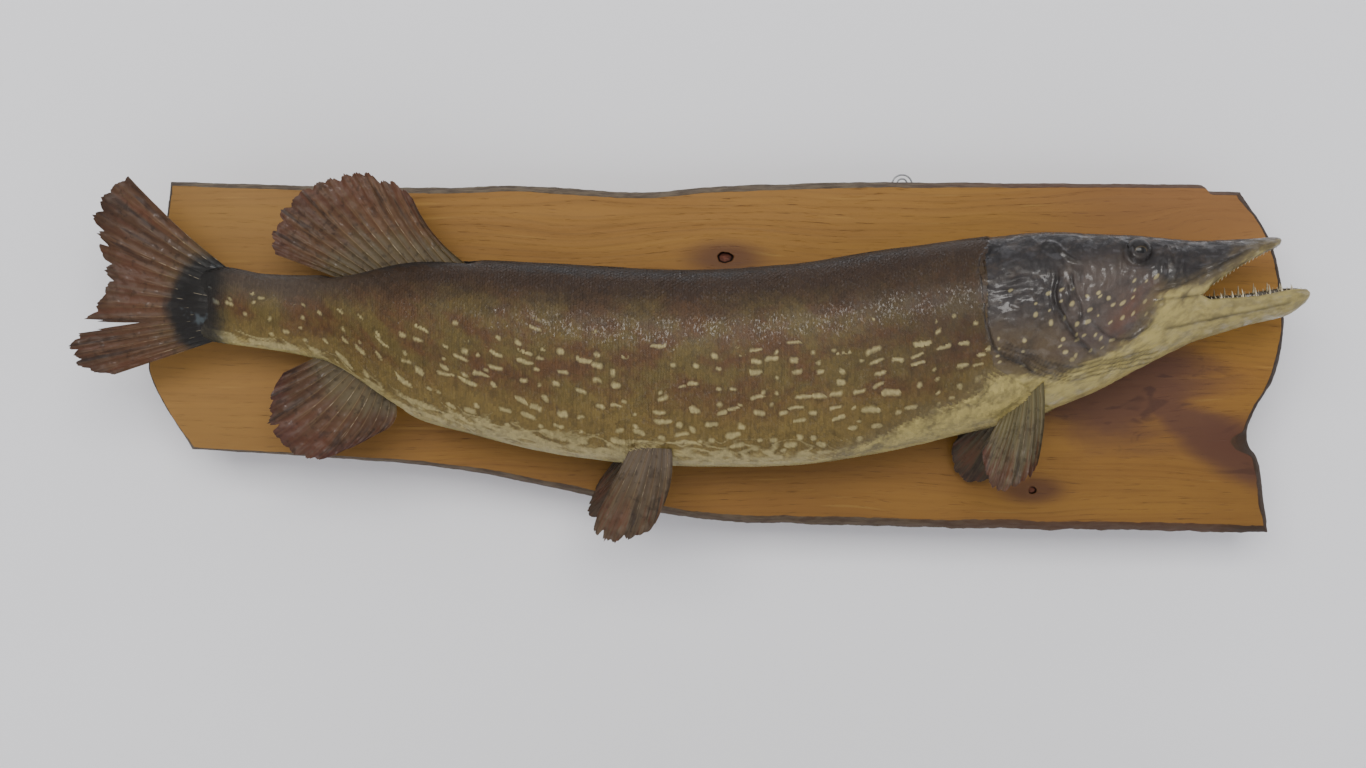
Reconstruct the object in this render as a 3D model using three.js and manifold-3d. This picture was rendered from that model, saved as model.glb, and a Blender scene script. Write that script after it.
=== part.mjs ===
// A mounted pike on a waney-edged oak board, life size, to hang on a wall.
//
// Millimetres. +X runs towards the fish's head, +Z is up and -Y faces the viewer.
// The origin is the middle of the board's back, which lies in the plane y = 0.
// The fish's right side faces the viewer, so "right" pieces are the near ones.

import * as THREE from "three";
import { mergeVertices } from "three/addons/utils/BufferGeometryUtils.js";
import Module from "manifold-3d";

const wasm = await Module();
wasm.setup();

// ---------------------------------------------------------------- driving dimensions

const BOARD_THICKNESS = 26;
const GAP = 0.3; // between pieces that touch

const RING_SIDES = 24; // facets round the body
const RING_SPACING = 22;

// The body from the tail's fleshy end to the corner of the mouth. Each row is
// [x, back z, belly z, half width, axis y, height of the widest line from 0 at the belly to 1,
//  squareness above that line, squareness below it].
const BODY = [
  [-408, 71, 19, 6, -83, 0.5, 2, 2],
  [-392, 74, 15.5, 10, -82, 0.5, 2, 2],
  [-362, 69.5, 11, 15, -80, 0.5, 2, 2],
  [-325, 67.5, 4, 19, -78, 0.5, 2, 2],
  [-300, 69.5, -8, 25, -77, 0.5, 2.1, 2],
  [-250, 78.5, -41, 36, -75, 0.5, 2.2, 2.1],
  [-205, 80.5, -56, 41, -74, 0.5, 2.3, 2.2],
  [-130, 77.5, -74, 46, -74, 0.5, 2.4, 2.3],
  [-33, 72, -83.5, 49, -74, 0.5, 2.4, 2.3],
  [60, 77, -82.5, 50, -74, 0.5, 2.4, 2.3],
  [143, 89.5, -70.5, 51, -75, 0.5, 2.5, 2.3],
  [214, 98.5, -53.5, 50, -77, 0.5, 2.6, 2.2],
  [259, 103, -41.5, 47, -80, 0.48, 2.8, 2.1],
  [305, 101.5, -23, 42, -83, 0.46, 3, 1.9],
  [331, 101, -9, 39, -84, 0.45, 3, 1.8],
  [356, 98.5, 4.5, 36, -86, 0.45, 2.8, 1.8],
];
const TRUNK_SPANS = {
  tail_stalk: [-408, -306],
  trunk_rear: [-306, -130],
  trunk_middle: [-130, 60],
  trunk_front: [60, 214],
};
const HEAD_SPAN = [214, 356];

// The jaws, in the same columns. The upper one is a flat-bottomed duck's bill, the lower a keel.
const UPPER_JAW = [
  [356, 98.5, 52.5, 36, -86, 0.15, 2.6, 5],
  [374, 96.5, 55.5, 33, -87, 0.15, 2.5, 5],
  [388, 96.5, 63, 31, -87, 0.15, 2.4, 5],
  [406, 97, 75, 29, -88, 0.15, 2.4, 5],
  [424, 98, 84.5, 24, -89, 0.2, 2.3, 4],
  [440, 99, 91.5, 16, -89, 0.3, 2.2, 3],
  [447, 99, 95, 7, -89, 0.5, 2, 2],
];
const LOWER_JAW = [
  [356, 51.5, 4.5, 36, -86, 0.85, 5, 1.9],
  [374, 50.5, 14, 33, -87, 0.85, 5, 1.9],
  [396, 52, 21.5, 30, -88, 0.85, 5, 2],
  [422, 53.5, 29.5, 27, -89, 0.8, 5, 2],
  [449, 58, 36, 20, -90, 0.7, 4, 2.1],
  [463, 58.5, 44, 12, -90, 0.6, 3, 2.2],
  [471, 56.5, 51, 4, -90, 0.5, 2, 2],
];
const LIP = 3.5; // thickness of the jaws' rims round the open mouth
const MOUTH_BACK = 6; // thickness of the flesh behind the open mouth
const MOUTH_FLOOR_DEPTH = 12;
const PALATE_DEPTH = 7;

const EYE = { x: 329.5, z: 88, radius: 10.5, sink: 6 };

const CANINES = { xs: [394, 405, 415, 424, 433, 441], height: 8, radius: 1.6, sides: 5 };
const UPPER_TEETH = { xs: [384, 395, 406, 416, 425, 433], height: 4, radius: 1.3, sides: 5 };

const GILL_COVER = { x: 233, turn: 9, reachX: 26, reachTurn: 38, thickness: 3, edge: 1, sides: 20 };

const FIN_ROOT_THICKNESS = 4.5;
const FIN_EDGE_THICKNESS = 1.4;

// ---------------------------------------------------------------- solids and meshes

function solidOf(geometry) {
  const bare = geometry.index ? geometry.toNonIndexed() : geometry.clone();
  bare.deleteAttribute("normal");
  bare.deleteAttribute("uv");
  const merged = mergeVertices(bare, 1e-3);
  return new wasm.Manifold(
    new wasm.Mesh({
      numProp: 3,
      vertProperties: merged.attributes.position.array,
      triVerts: new Uint32Array(merged.index.array),
    }),
  );
}

function geometryOf(solid) {
  const made = solid.getMesh();
  const geometry = new THREE.BufferGeometry();
  geometry.setAttribute("position", new THREE.BufferAttribute(made.vertProperties, 3));
  geometry.setIndex(new THREE.BufferAttribute(made.triVerts, 1));
  geometry.computeVertexNormals();
  return geometry;
}

// The body within these triangles, whichever way round they are listed.
function bodyFrom(points, triangles) {
  const geometry = new THREE.BufferGeometry().setFromPoints(points);
  geometry.setIndex(triangles);
  const solid = solidOf(geometry);
  if (solid.volume() > 0) return solid;
  geometry.setIndex(triangles.reverse());
  return solidOf(geometry);
}

// A closed body through rings of equal length, each end capped by a fan round its middle.
function loft(rings) {
  const sides = rings[0].length;
  const points = rings.flat();
  const triangles = [];
  for (let r = 0; r < rings.length - 1; r++) {
    for (let k = 0; k < sides; k++) {
      const here = r * sides + k;
      const next = r * sides + ((k + 1) % sides);
      triangles.push(here, next, here + sides, next, next + sides, here + sides);
    }
  }
  const cap = (ring, first, facingBack) => {
    const middle = ring.reduce((sum, p) => sum.add(p), new THREE.Vector3()).divideScalar(sides);
    points.push(middle);
    for (let k = 0; k < sides; k++) {
      const pair = [first + k, first + ((k + 1) % sides)];
      triangles.push(points.length - 1, ...(facingBack ? pair.reverse() : pair));
    }
  };
  cap(rings[0], 0, true);
  cap(rings.at(-1), (rings.length - 1) * sides, false);
  return bodyFrom(points, triangles);
}

// A closed body between two grids of points that lie back to back.
function sheet(front, back) {
  const rows = front.length;
  const columns = front[0].length;
  const points = [...front.flat(), ...back.flat()];
  const backStart = rows * columns;
  const triangles = [];
  const quad = (a, b, c, d) => triangles.push(a, b, c, a, c, d);
  for (let r = 0; r < rows - 1; r++) {
    for (let c = 0; c < columns - 1; c++) {
      const i = r * columns + c;
      quad(i, i + 1, i + columns + 1, i + columns);
      quad(backStart + i, backStart + i + columns, backStart + i + columns + 1, backStart + i + 1);
    }
  }
  const rim = [];
  for (let c = 0; c < columns - 1; c++) rim.push(c);
  for (let r = 0; r < rows - 1; r++) rim.push(r * columns + columns - 1);
  for (let c = columns - 1; c > 0; c--) rim.push((rows - 1) * columns + c);
  for (let r = rows - 1; r > 0; r--) rim.push(r * columns);
  rim.forEach((i, k) => {
    const j = rim[(k + 1) % rim.length];
    quad(i, backStart + i, backStart + j, j);
  });
  return bodyFrom(points, triangles);
}

const group = new THREE.Group();
group.name = "mounted_pike";

function add(name, solid, material) {
  const mesh = new THREE.Mesh(geometryOf(solid), material);
  mesh.name = name;
  group.add(mesh);
}

function finish(color, roughness, metalness = 0) {
  return new THREE.MeshStandardMaterial({ color, roughness, metalness });
}

const flesh = finish(0x6a5435, 0.4);
const headSkin = finish(0x4a4541, 0.35);
const paleJaw = finish(0x998f75, 0.4);
const finSkin = finish(0x5c4434, 0.5);
const glassEye = finish(0x241f1a, 0.05);
const oak = finish(0x91683a, 0.45);
const wire = finish(0x8a8a8c, 0.4, 1);

// ---------------------------------------------------------------- the body's surface

// The rows' columns at x, on a smooth curve through them.
function columnsAt(rows, x) {
  let i = 0;
  while (i < rows.length - 2 && rows[i + 1][0] < x) i++;
  const span = rows[i + 1][0] - rows[i][0];
  const t = (x - rows[i][0]) / span;
  const slope = (k, c) => {
    const low = rows[Math.max(k - 1, 0)];
    const high = rows[Math.min(k + 1, rows.length - 1)];
    return (high[c] - low[c]) / (high[0] - low[0]);
  };
  return rows[0].map((_, c) => {
    const [a, b] = [rows[i][c], rows[i + 1][c]];
    const [ma, mb] = [slope(i, c) * span, slope(i + 1, c) * span];
    const t2 = t * t;
    const t3 = t2 * t;
    return (2 * t3 - 3 * t2 + 1) * a + (t3 - 2 * t2 + t) * ma + (3 * t2 - 2 * t3) * b + (t3 - t2) * mb;
  });
}

const rounded = (value, squareness) => Math.sign(value) * Math.abs(value) ** (2 / squareness);

// A point of the surface at x. A turn of 0 is the near flank, 90 degrees the back, 270 the belly.
function surface(rows, x, degrees, grow = 0) {
  const [, back, belly, half, axisY, waist, above, below] = columnsAt(rows, x);
  const middle = belly + (back - belly) * waist;
  const turn = THREE.MathUtils.degToRad(degrees);
  const squareness = Math.sin(turn) >= 0 ? above : below;
  const height = (Math.sin(turn) >= 0 ? back - middle : middle - belly) + grow;
  const y = axisY - (half + grow) * rounded(Math.cos(turn), squareness);
  const z = middle + height * rounded(Math.sin(turn), squareness);
  return new THREE.Vector3(x, y, z);
}

// The far flank lies flat on the board where it would otherwise enter it.
const onBoard = (point, clearance) => point.setY(Math.min(point.y, -BOARD_THICKNESS - clearance));

function ringAt(rows, x, grow) {
  return Array.from({ length: RING_SIDES }, (_, k) =>
    onBoard(surface(rows, x, (-360 * k) / RING_SIDES, grow), GAP - grow),
  );
}

// Even places for the rings of a piece that runs between two cuts, half a gap short at each end.
function ringPlaces([from, to]) {
  const steps = Math.max(3, Math.round((to - from) / RING_SPACING));
  return Array.from({ length: steps + 1 }, (_, s) => from + GAP / 2 + ((to - from - GAP) * s) / steps);
}

function loftAt(rows, places, grow = 0) {
  return loft(places.map((x) => ringAt(rows, x, grow)));
}

// The whole body a gap larger, to trim what sits on it.
const bodyPlaces = [...Object.values(TRUNK_SPANS), HEAD_SPAN].flatMap(ringPlaces);
const wholeBody = loftAt(BODY, [BODY[0][0] - GAP / 2, ...bodyPlaces], GAP);

// ---------------------------------------------------------------- trunk and tail stalk

for (const [name, span] of Object.entries(TRUNK_SPANS)) add(name, loftAt(BODY, ringPlaces(span)), flesh);

// ---------------------------------------------------------------- head, eyes and gill covers

const sides = { right: 1, left: -1 }; // the near and the far side of the body

function eyeCentre(side) {
  const [, back, belly, half, axisY, waist, above] = columnsAt(BODY, EYE.x);
  const middle = belly + (back - belly) * waist;
  const rise = (EYE.z - middle) / (back - middle);
  const reach = half * (1 - rise ** above) ** (1 / above);
  return new THREE.Vector3(EYE.x, axisY - side * (reach - EYE.sink), EYE.z);
}

function ball(radius, centre) {
  const round = new THREE.SphereGeometry(radius, 14, 10);
  return solidOf(round.translate(centre.x, centre.y, centre.z));
}

// A plate over the gills, thickest in the middle: squared ovals in length and turn, out along its
// face to the rim and back along its underside.
function gillCover(side) {
  const oval = (share, thickness) =>
    Array.from({ length: GILL_COVER.sides }, (_, k) => {
      const a = (2 * Math.PI * k) / GILL_COVER.sides;
      const x = GILL_COVER.x + share * GILL_COVER.reachX * rounded(Math.cos(a), 3);
      const lift = GILL_COVER.turn + share * GILL_COVER.reachTurn * rounded(Math.sin(a), 3);
      return onBoard(surface(BODY, x, side > 0 ? lift : 180 - lift, thickness), GAP);
    });
  const { thickness, edge } = GILL_COVER;
  const shares = [0.25, 0.5, 0.75, 1];
  const face = shares.map((share) => oval(share, edge + (thickness - edge) * (1 - share ** 4)));
  const underside = shares.map((share) => oval(share, -edge)).reverse();
  return loft([...face, ...underside]).subtract(wholeBody);
}

let head = loftAt(BODY, ringPlaces(HEAD_SPAN));
for (const [name, side] of Object.entries(sides)) {
  const centre = eyeCentre(side);
  head = head.subtract(ball(EYE.radius + GAP, centre));
  add("eye_" + name, ball(EYE.radius, centre), glassEye);
  add("gill_cover_" + name, gillCover(side), headSkin);
}
add("head", head, headSkin);

// ---------------------------------------------------------------- jaws and teeth

// Teeth stand along both rims, root sunk in the lip.
function toothRow(rows, teeth, upright) {
  const made = [];
  for (const x of teeth.xs) {
    const [, top, bottom, half, axisY] = columnsAt(rows, x);
    for (const side of Object.values(sides)) {
      const tooth = new THREE.ConeGeometry(teeth.radius, teeth.height, teeth.sides);
      tooth.rotateX(upright ? Math.PI / 2 : -Math.PI / 2);
      const rim = upright ? top : bottom;
      const middle = teeth.height / 2 - 1.5;
      tooth.translate(x, axisY - side * (half - LIP), rim + (upright ? middle : -middle));
      made.push(solidOf(tooth));
    }
  }
  return made;
}

// The jaw less the inside of the mouth: the same rows, a lip's thickness narrower.
function hollowJaw(rows, depth, opensUp) {
  const inner = rows.slice(0, -1).map(([x, top, bottom, half, axisY]) => {
    const height = Math.min(depth, (top - bottom) * 0.5);
    const [high, low] = opensUp ? [top + height, top - height] : [bottom + height, bottom - height];
    return [x, high, low, half - LIP, axisY, 0.5, 3, 3];
  });
  const solid = loftAt(rows, ringPlaces([rows[0][0], rows.at(-1)[0]]));
  return solid.subtract(loftAt(inner, ringPlaces([inner[0][0] + MOUTH_BACK, inner.at(-1)[0]])));
}

const joined = (solid, pieces) => pieces.reduce((sum, piece) => sum.add(piece), solid);
const upperJaw = hollowJaw(UPPER_JAW, PALATE_DEPTH, false);
const lowerJaw = hollowJaw(LOWER_JAW, MOUTH_FLOOR_DEPTH, true);
add("upper_jaw", joined(upperJaw, toothRow(UPPER_JAW, UPPER_TEETH, false)), headSkin);
add("lower_jaw", joined(lowerJaw, toothRow(LOWER_JAW, CANINES, true)), paleJaw);

// ---------------------------------------------------------------- fins

// Each fin is a fan of rays from a root line inside the flesh to tips along its margin, both
// listed from the leading ray to the last as [x, z]. rootY and tipY place those ends in depth,
// bow bends the rays forwards, and a tear is [place along the fan, share of the ray's length].
const axisAt = (x) => columnsAt(BODY, x)[4];
const FINS = {
  dorsal_fin: {
    root: [[-203, 76], [-306, 63]],
    tips: [
      [-262, 144], [-277, 152], [-297, 151], [-317, 143],
      [-334, 131], [-347, 117], [-353, 102], [-348, 85],
    ],
    rootY: [axisAt(-205), axisAt(-306)],
    tipY: [-80, -86],
    rays: 16,
    bow: -4,
    tears: [],
  },
  anal_fin: {
    root: [[-260, -30], [-312, 8]],
    tips: [
      [-272, -58], [-294, -70], [-318, -80], [-338, -79],
      [-355, -66], [-363, -48], [-358, -26], [-347, -9],
    ],
    rootY: [axisAt(-262), axisAt(-312)],
    tipY: [-80, -88],
    rays: 14,
    bow: 8,
    tears: [[0.68, 0.12]],
  },
  tail_fin: {
    root: [[-386, 71], [-394, 19]],
    tips: [
      [-468, 149], [-485, 138], [-500, 119], [-498, 98], [-492, 75],
      [-495, 57], [-509, 40], [-516, 22], [-521, 7], [-508, -6], [-484, -11],
    ],
    rootY: [axisAt(-386), axisAt(-394)],
    tipY: [-86, -85],
    rays: 19,
    bow: 3,
    tears: [[0.27, 0.12], [0.4, 0.1], [0.63, 0.5]],
  },
  pectoral_fin_right: {
    root: [[255, -20], [224, -43]],
    tips: [[250, -80], [242, -95], [223, -104], [213, -96], [209, -70]],
    rootY: [-102, -90],
    tipY: [-122, -106],
    rays: 12,
    bow: 3,
    tears: [],
  },
  pectoral_fin_left: {
    root: [[255, -20], [224, -43]],
    tips: [[244, -86], [226, -104], [204, -104], [195, -90], [194, -72], [203, -58]],
    rootY: [-56, -68],
    tipY: [-36, -46],
    rays: 12,
    bow: 3,
    tears: [],
  },
  pelvic_fin_right: {
    root: [[-36, -74], [-68, -72]],
    tips: [[-42, -112], [-53, -135], [-68, -143], [-86, -146], [-99, -140], [-96, -122]],
    rootY: [-92, -90],
    tipY: [-108, -98],
    rays: 10,
    bow: 3,
    tears: [[0.7, 0.14]],
  },
  pelvic_fin_left: {
    root: [[-42, -74], [-74, -70]],
    tips: [[-60, -124], [-84, -134], [-108, -131], [-104, -116], [-96, -100]],
    rootY: [-56, -58],
    tipY: [-44, -50],
    rays: 10,
    bow: 3,
    tears: [],
  },
};
const FIN_ROWS = 4;
const NOTCH = 0.05; // how far the web falls short of the ray tips
const UNEVENNESS = 0.025; // of the ray lengths
const CAMBER = 3; // belly of the fan between its edges

function fin(spec) {
  const margin = new THREE.SplineCurve(spec.tips.map(([x, z]) => new THREE.Vector2(x, z)));
  const [start, end] = spec.root.map(([x, z]) => new THREE.Vector2(x, z));
  const columns = 2 * spec.rays - 1;
  const { lerp } = THREE.MathUtils;
  const tearAt = (share) => {
    const torn = spec.tears.find(([place]) => Math.abs(place - share) < 0.5 / (spec.rays - 1));
    return torn ? torn[1] : NOTCH;
  };
  const pointAt = (column, row) => {
    const share = column / (columns - 1);
    const isRay = column % 2 === 0;
    const reach = isRay ? 1 - UNEVENNESS * Math.abs(Math.sin(column * 2.3)) : 1 - tearAt(share);
    const along = (row / (FIN_ROWS - 1)) * reach;
    const root = start.clone().lerp(end, share);
    const ray = margin.getPoint(share).sub(root);
    const bend = (spec.bow * 4 * along * (1 - along) * (1 - share)) / ray.length();
    const place = root.addScaledVector(ray, along).addScaledVector(new THREE.Vector2(-ray.y, ray.x), bend);
    const depth = lerp(lerp(...spec.rootY, share), lerp(...spec.tipY, share), along);
    return new THREE.Vector3(place.x, depth + CAMBER * Math.sin(Math.PI * share) * along, place.y);
  };
  const faceAt = (offset) =>
    Array.from({ length: FIN_ROWS }, (_, row) =>
      Array.from({ length: columns }, (_, column) => {
        const half = lerp(FIN_ROOT_THICKNESS, FIN_EDGE_THICKNESS, row / (FIN_ROWS - 1)) / 2;
        return pointAt(column, row).add(new THREE.Vector3(0, offset * half, 0));
      }),
    );
  return sheet(faceAt(-1), faceAt(1)).subtract(wholeBody);
}

for (const [name, spec] of Object.entries(FINS)) add(name, fin(spec), finSkin);

// ---------------------------------------------------------------- board

// Hand-sawn ends and natural wane along the top and bottom, as [x, z], clockwise from top left.
const BOARD_EDGES = {
  top: {
    points: [
      [-454, 146], [-262, 141], [-162, 142.5], [-66, 137],
      [0, 142], [111, 145.5], [406, 143.5], [438, 139],
    ],
    wane: 8,
  },
  right: {
    points: [[438, 139], [465, 94], [477, 35], [471, -12], [453, -47], [449, -70], [459, -92], [467, -149]],
    wane: 1.5,
  },
  bottom: {
    points: [
      [467, -149], [238, -146], [71, -142], [-20, -137],
      [-100, -119], [-196, -99], [-280, -89], [-440, -78],
    ],
    wane: 9,
  },
  left: {
    points: [[-440, -78], [-471, -23], [-474, 10], [-458, 118], [-454, 146]],
    wane: 1.5,
  },
};
const EDGE_STEPS = 14;
// How far the edge has come in, as a share of the wane, at shares of the thickness.
const WANE_PROFILE = [[0, 0.15], [0.1, 0], [0.35, 0], [0.75, 0.4], [1, 1]];
const KNOTS = [
  { x: 8, z: 83, width: 13, height: 10, depth: 7 },
  { x: 265, z: -111, width: 7, height: 7, depth: 4 },
];

function boardOutline() {
  const outline = [];
  for (const { points, wane } of Object.values(BOARD_EDGES)) {
    const curve = new THREE.SplineCurve(points.map(([x, z]) => new THREE.Vector2(x, z)));
    for (let s = 0; s < EDGE_STEPS; s++) outline.push({ at: curve.getPoint(s / EDGE_STEPS), wane });
  }
  return outline;
}

function boardSolid() {
  const outline = boardOutline();
  const count = outline.length;
  const inward = outline.map(({ at }, k) => {
    const before = outline[(k + count - 1) % count].at;
    const after = outline[(k + 1) % count].at;
    const run = after.clone().sub(before).normalize();
    return new THREE.Vector2(run.y, -run.x);
  });
  const layer = ([share, inset]) =>
    outline.map(({ at, wane }, k) => {
      const p = at.clone().addScaledVector(inward[k], wane * inset);
      return new THREE.Vector3(p.x, -share * BOARD_THICKNESS, p.y);
    });
  return loft(WANE_PROFILE.map(layer));
}

function box(from, to) {
  const size = new THREE.Vector3().subVectors(to, from);
  const middle = new THREE.Vector3().addVectors(from, to).multiplyScalar(0.5);
  return solidOf(new THREE.BoxGeometry(size.x, size.y, size.z).translate(middle.x, middle.y, middle.z));
}

// ---------------------------------------------------------------- hanger

// A pocket in the back's top edge holds two nails and one wire hooked round them in a double arch.
const HANGER = {
  x: 156.5,
  pocket: { half: 14, floorZ: 104, depth: 5 },
  wireY: -3.4,
  wireRadius: 0.7,
  outer: { radius: 8.4, z: 143.6 },
  inner: { radius: 4.1, z: 144.6 },
  nail: { spread: 7, z: 116, collar: 1.2, head: 2.6, top: -0.8, headHeight: 1.1 },
};

function hangerWire() {
  const { x, wireY, wireRadius, outer, inner, nail } = HANGER;
  const at = (dx, z) => new THREE.Vector3(x + dx, wireY, z);
  const arch = (radius, z, clockwise) =>
    [180, 135, 90, 45, 0].map((degrees) => {
      const a = THREE.MathUtils.degToRad(clockwise ? degrees : 180 - degrees);
      return at(radius * Math.cos(a), z + radius * Math.sin(a));
    });
  const hook = nail.collar + wireRadius + 0.6;
  const path = new THREE.CatmullRomCurve3(
    [
      at(-nail.spread - hook, nail.z - 1),
      at(-nail.spread - hook, nail.z + 10),
      ...arch(outer.radius, outer.z, true),
      at(nail.spread + hook, nail.z + 10),
      at(nail.spread + hook, nail.z),
      at(nail.spread, nail.z - hook),
      at(nail.spread - hook, nail.z),
      at(nail.spread - hook - 0.2, nail.z + 10),
      ...arch(inner.radius, inner.z, false),
      at(-nail.spread + hook + 0.2, nail.z + 10),
      at(-nail.spread + hook, nail.z),
      at(-nail.spread + 0.4, nail.z - hook),
    ],
    false,
    "centripetal",
  );
  const section = new THREE.Shape().absarc(0, 0, wireRadius, 0, 2 * Math.PI);
  const along = { steps: 60, curveSegments: 3, extrudePath: path, bevelEnabled: false };
  return solidOf(new THREE.ExtrudeGeometry(section, along));
}

function hangerNail(side) {
  const { x, pocket, nail } = HANGER;
  const foot = -pocket.depth + GAP;
  const profile = [
    [0, foot], [nail.collar, foot], [nail.collar, nail.top - nail.headHeight],
    [nail.head, nail.top - nail.headHeight], [nail.head * 0.8, nail.top], [0, nail.top],
  ];
  const turned = new THREE.LatheGeometry(profile.map(([r, h]) => new THREE.Vector2(r, h)), 12);
  return solidOf(turned.translate(x + side * nail.spread, 0, nail.z));
}

const { pocket } = HANGER;
let board = boardSolid().subtract(
  box(
    new THREE.Vector3(HANGER.x - pocket.half, -pocket.depth, pocket.floorZ),
    new THREE.Vector3(HANGER.x + pocket.half, 5, 160),
  ),
);
for (const { x, z, width, height, depth } of KNOTS) {
  const pit = new THREE.CylinderGeometry(0.5, 0.35, 1, 12).scale(width, 2 * depth, height);
  board = board.subtract(solidOf(pit.rotateX(Math.PI).translate(x, -BOARD_THICKNESS, z)));
}
add("board", board, oak);
add("hanger_wire", hangerWire(), wire);
add("hanger_nail_left", hangerNail(-1), wire);
add("hanger_nail_right", hangerNail(1), wire);

export default group;
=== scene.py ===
import contextlib
import math

import bmesh
import bpy
import numpy as np
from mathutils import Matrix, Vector, noise
from mathutils.geometry import delaunay_2d_cdt


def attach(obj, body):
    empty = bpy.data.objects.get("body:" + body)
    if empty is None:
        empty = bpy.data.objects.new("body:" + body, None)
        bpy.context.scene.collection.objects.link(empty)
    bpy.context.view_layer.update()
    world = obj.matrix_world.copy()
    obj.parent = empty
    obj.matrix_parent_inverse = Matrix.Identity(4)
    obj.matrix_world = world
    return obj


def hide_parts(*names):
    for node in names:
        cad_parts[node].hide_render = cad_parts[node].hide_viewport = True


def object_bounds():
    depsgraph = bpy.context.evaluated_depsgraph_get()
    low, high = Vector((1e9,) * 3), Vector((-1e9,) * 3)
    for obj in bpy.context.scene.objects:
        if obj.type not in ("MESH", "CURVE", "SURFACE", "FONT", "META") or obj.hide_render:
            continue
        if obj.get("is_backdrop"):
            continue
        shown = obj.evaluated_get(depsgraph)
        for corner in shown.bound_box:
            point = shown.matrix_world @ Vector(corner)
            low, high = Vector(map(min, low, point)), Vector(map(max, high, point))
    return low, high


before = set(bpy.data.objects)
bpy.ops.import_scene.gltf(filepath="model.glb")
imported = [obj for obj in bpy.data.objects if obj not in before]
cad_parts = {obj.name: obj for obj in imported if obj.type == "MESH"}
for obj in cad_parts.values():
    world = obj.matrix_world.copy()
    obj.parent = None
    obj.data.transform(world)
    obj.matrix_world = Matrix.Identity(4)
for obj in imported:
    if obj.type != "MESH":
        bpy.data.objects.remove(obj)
cad_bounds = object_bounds()

# ---------------------------------------------------------------------------------------------
# Board: one plank of oak, sawn to length by hand at both ends and left with the tree's own wavy
# edge along the top and bottom. It is planed, oiled honey-brown and given a satin varnish. Its
# knots are open pits, and a pocket is cut in its back for the hanger. Sizes are millimetres.

MM = 0.001
BOARD_THICKNESS = 26
BOARD_EDGES = [  # how far the wane comes in at both ends, and [x, z] along the top, right, bottom and left
    ((0, -4), (0, -3.2), [(-454, 146), (-262, 141), (-162, 142.5), (-66, 137), (0, 142), (111, 145.5),
                          (230, 145), (310, 144.5), (360, 144.2), (390, 144), (402, 143.8), (406, 143),
                          (408, 139.4), (412, 138.2), (422, 137.8), (438, 137.5)]),
    ((-7, 0), (-9, 0), [(438, 137.5), (465, 94), (477, 35), (471, -12), (453, -47), (449, -70), (459, -92),
                        (467, -149)]),
    ((0, 8.5), (0, 3), [(467, -149), (238, -146), (71, -142), (-20, -137), (-100, -119), (-196, -99),
                        (-280, -89), (-440, -78)]),
    ((5, 0), (5.5, 0), [(-440, -78), (-471, -23), (-474, 10), (-458, 118), (-454, 146)]),
]
OUTLINE_STEP, CORNER_RUN = 2.5, 26
# How far the edge has come in, as a share of the wane, at shares of the thickness.
WANE_PROFILE = [(0, 0.12), (0.05, 0.03), (0.15, 0), (0.3, 0), (0.42, 0.06), (0.54, 0.2), (0.66, 0.36)]
WANE_PROFILE += [(0.77, 0.52), (0.86, 0.68), (0.93, 0.84), (0.975, 0.95), (1, 1.05)]
KNOTS = [(8, 83, 6.8, 5.2, 7), (265, -111, 3.4, 3.6, 4)]  # x, z, half width and height, depth
# A pit's reach and drop, as shares of its size and depth, from its rim to its floor.
PIT_PROFILE = [(1.12, 0), (1, 0), (0.93, 0.06), (0.86, 0.3), (0.8, 0.65), (0.68, 0.9), (0.42, 1)]
OPEN_KNOT = (-72, 8, 10)  # middle, half height and depth of the hole that breaks the right end's edge
POCKET = (142.5, 170.5, 104, 5)  # left, right, floor, depth
NET = 14.0  # spacing of the points inside the flat faces


def curve_at(points, shares):
    """Places on a smooth curve through points, by share of its run of points."""
    p = np.array(points, float)
    t = np.clip(shares, 0, 1) * (len(p) - 1)
    i = np.minimum(t.astype(int), len(p) - 2)
    w = (t - i)[:, None]
    before, after = p[np.maximum(i - 1, 0)], p[np.minimum(i + 2, len(p) - 1)]
    start, end = p[i], p[i + 1]
    v0, v1 = (end - before) / 2, (after - start) / 2
    return (2 * (start - end) + v0 + v1) * w**3 + (3 * (end - start) - 2 * v0 - v1) * w**2 + v0 * w + start


def run_of(line):
    """How far along a line each of its points lies."""
    return np.append(0, np.cumsum(np.linalg.norm(np.diff(line, axis=0), axis=1)))


def walk(line, at):
    """Points at those distances along a line."""
    run = run_of(line)
    return np.stack([np.interp(at, run, side) for side in line.T], 1)


def ripple(points, size, octaves=3):
    """Smooth noise about -1 to 1 at each point, with bumps of that size in millimetres."""
    scaled = np.asarray(points, float) / size
    return np.array([noise.fractal(Vector(p), 1.0, 2.0, octaves) for p in scaled.tolist()])


def ease(value, start, end):
    """0 before start and 1 after end, with a smooth rise between them."""
    t = np.clip((np.asarray(value, float) - start) / (end - start), 0, 1)
    return t * t * (3 - 2 * t)


def new_piece(name, points, faces):
    """A smooth mesh object from points in millimetres."""
    mesh = bpy.data.meshes.new(name)
    mesh.from_pydata((np.asarray(points, float) * MM).tolist(), [], [list(f) for f in faces])
    mesh.update()
    mesh.shade_smooth()
    piece = bpy.data.objects.new(name, mesh)
    bpy.context.scene.collection.objects.link(piece)
    return piece


def add_values(piece, **named):
    """A number or a vector for each vertex, for the material to read."""
    for name, values in named.items():
        values = np.asarray(values, np.float32)
        kind, field = ("FLOAT", "value") if values.ndim == 1 else ("FLOAT_VECTOR", "vector")
        piece.data.attributes.new(name, kind, "POINT").data.foreach_set(field, values.ravel())


def vectors_of(piece, kind="points"):
    """The mesh's points in millimetres, or its normals."""
    values = np.empty(len(piece.data.vertices) * 3)
    if kind == "points":
        piece.data.vertices.foreach_get("co", values)
        values /= MM
    else:
        piece.data.vertex_normals.foreach_get("vector", values)
    return values.reshape(-1, 3)


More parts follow.
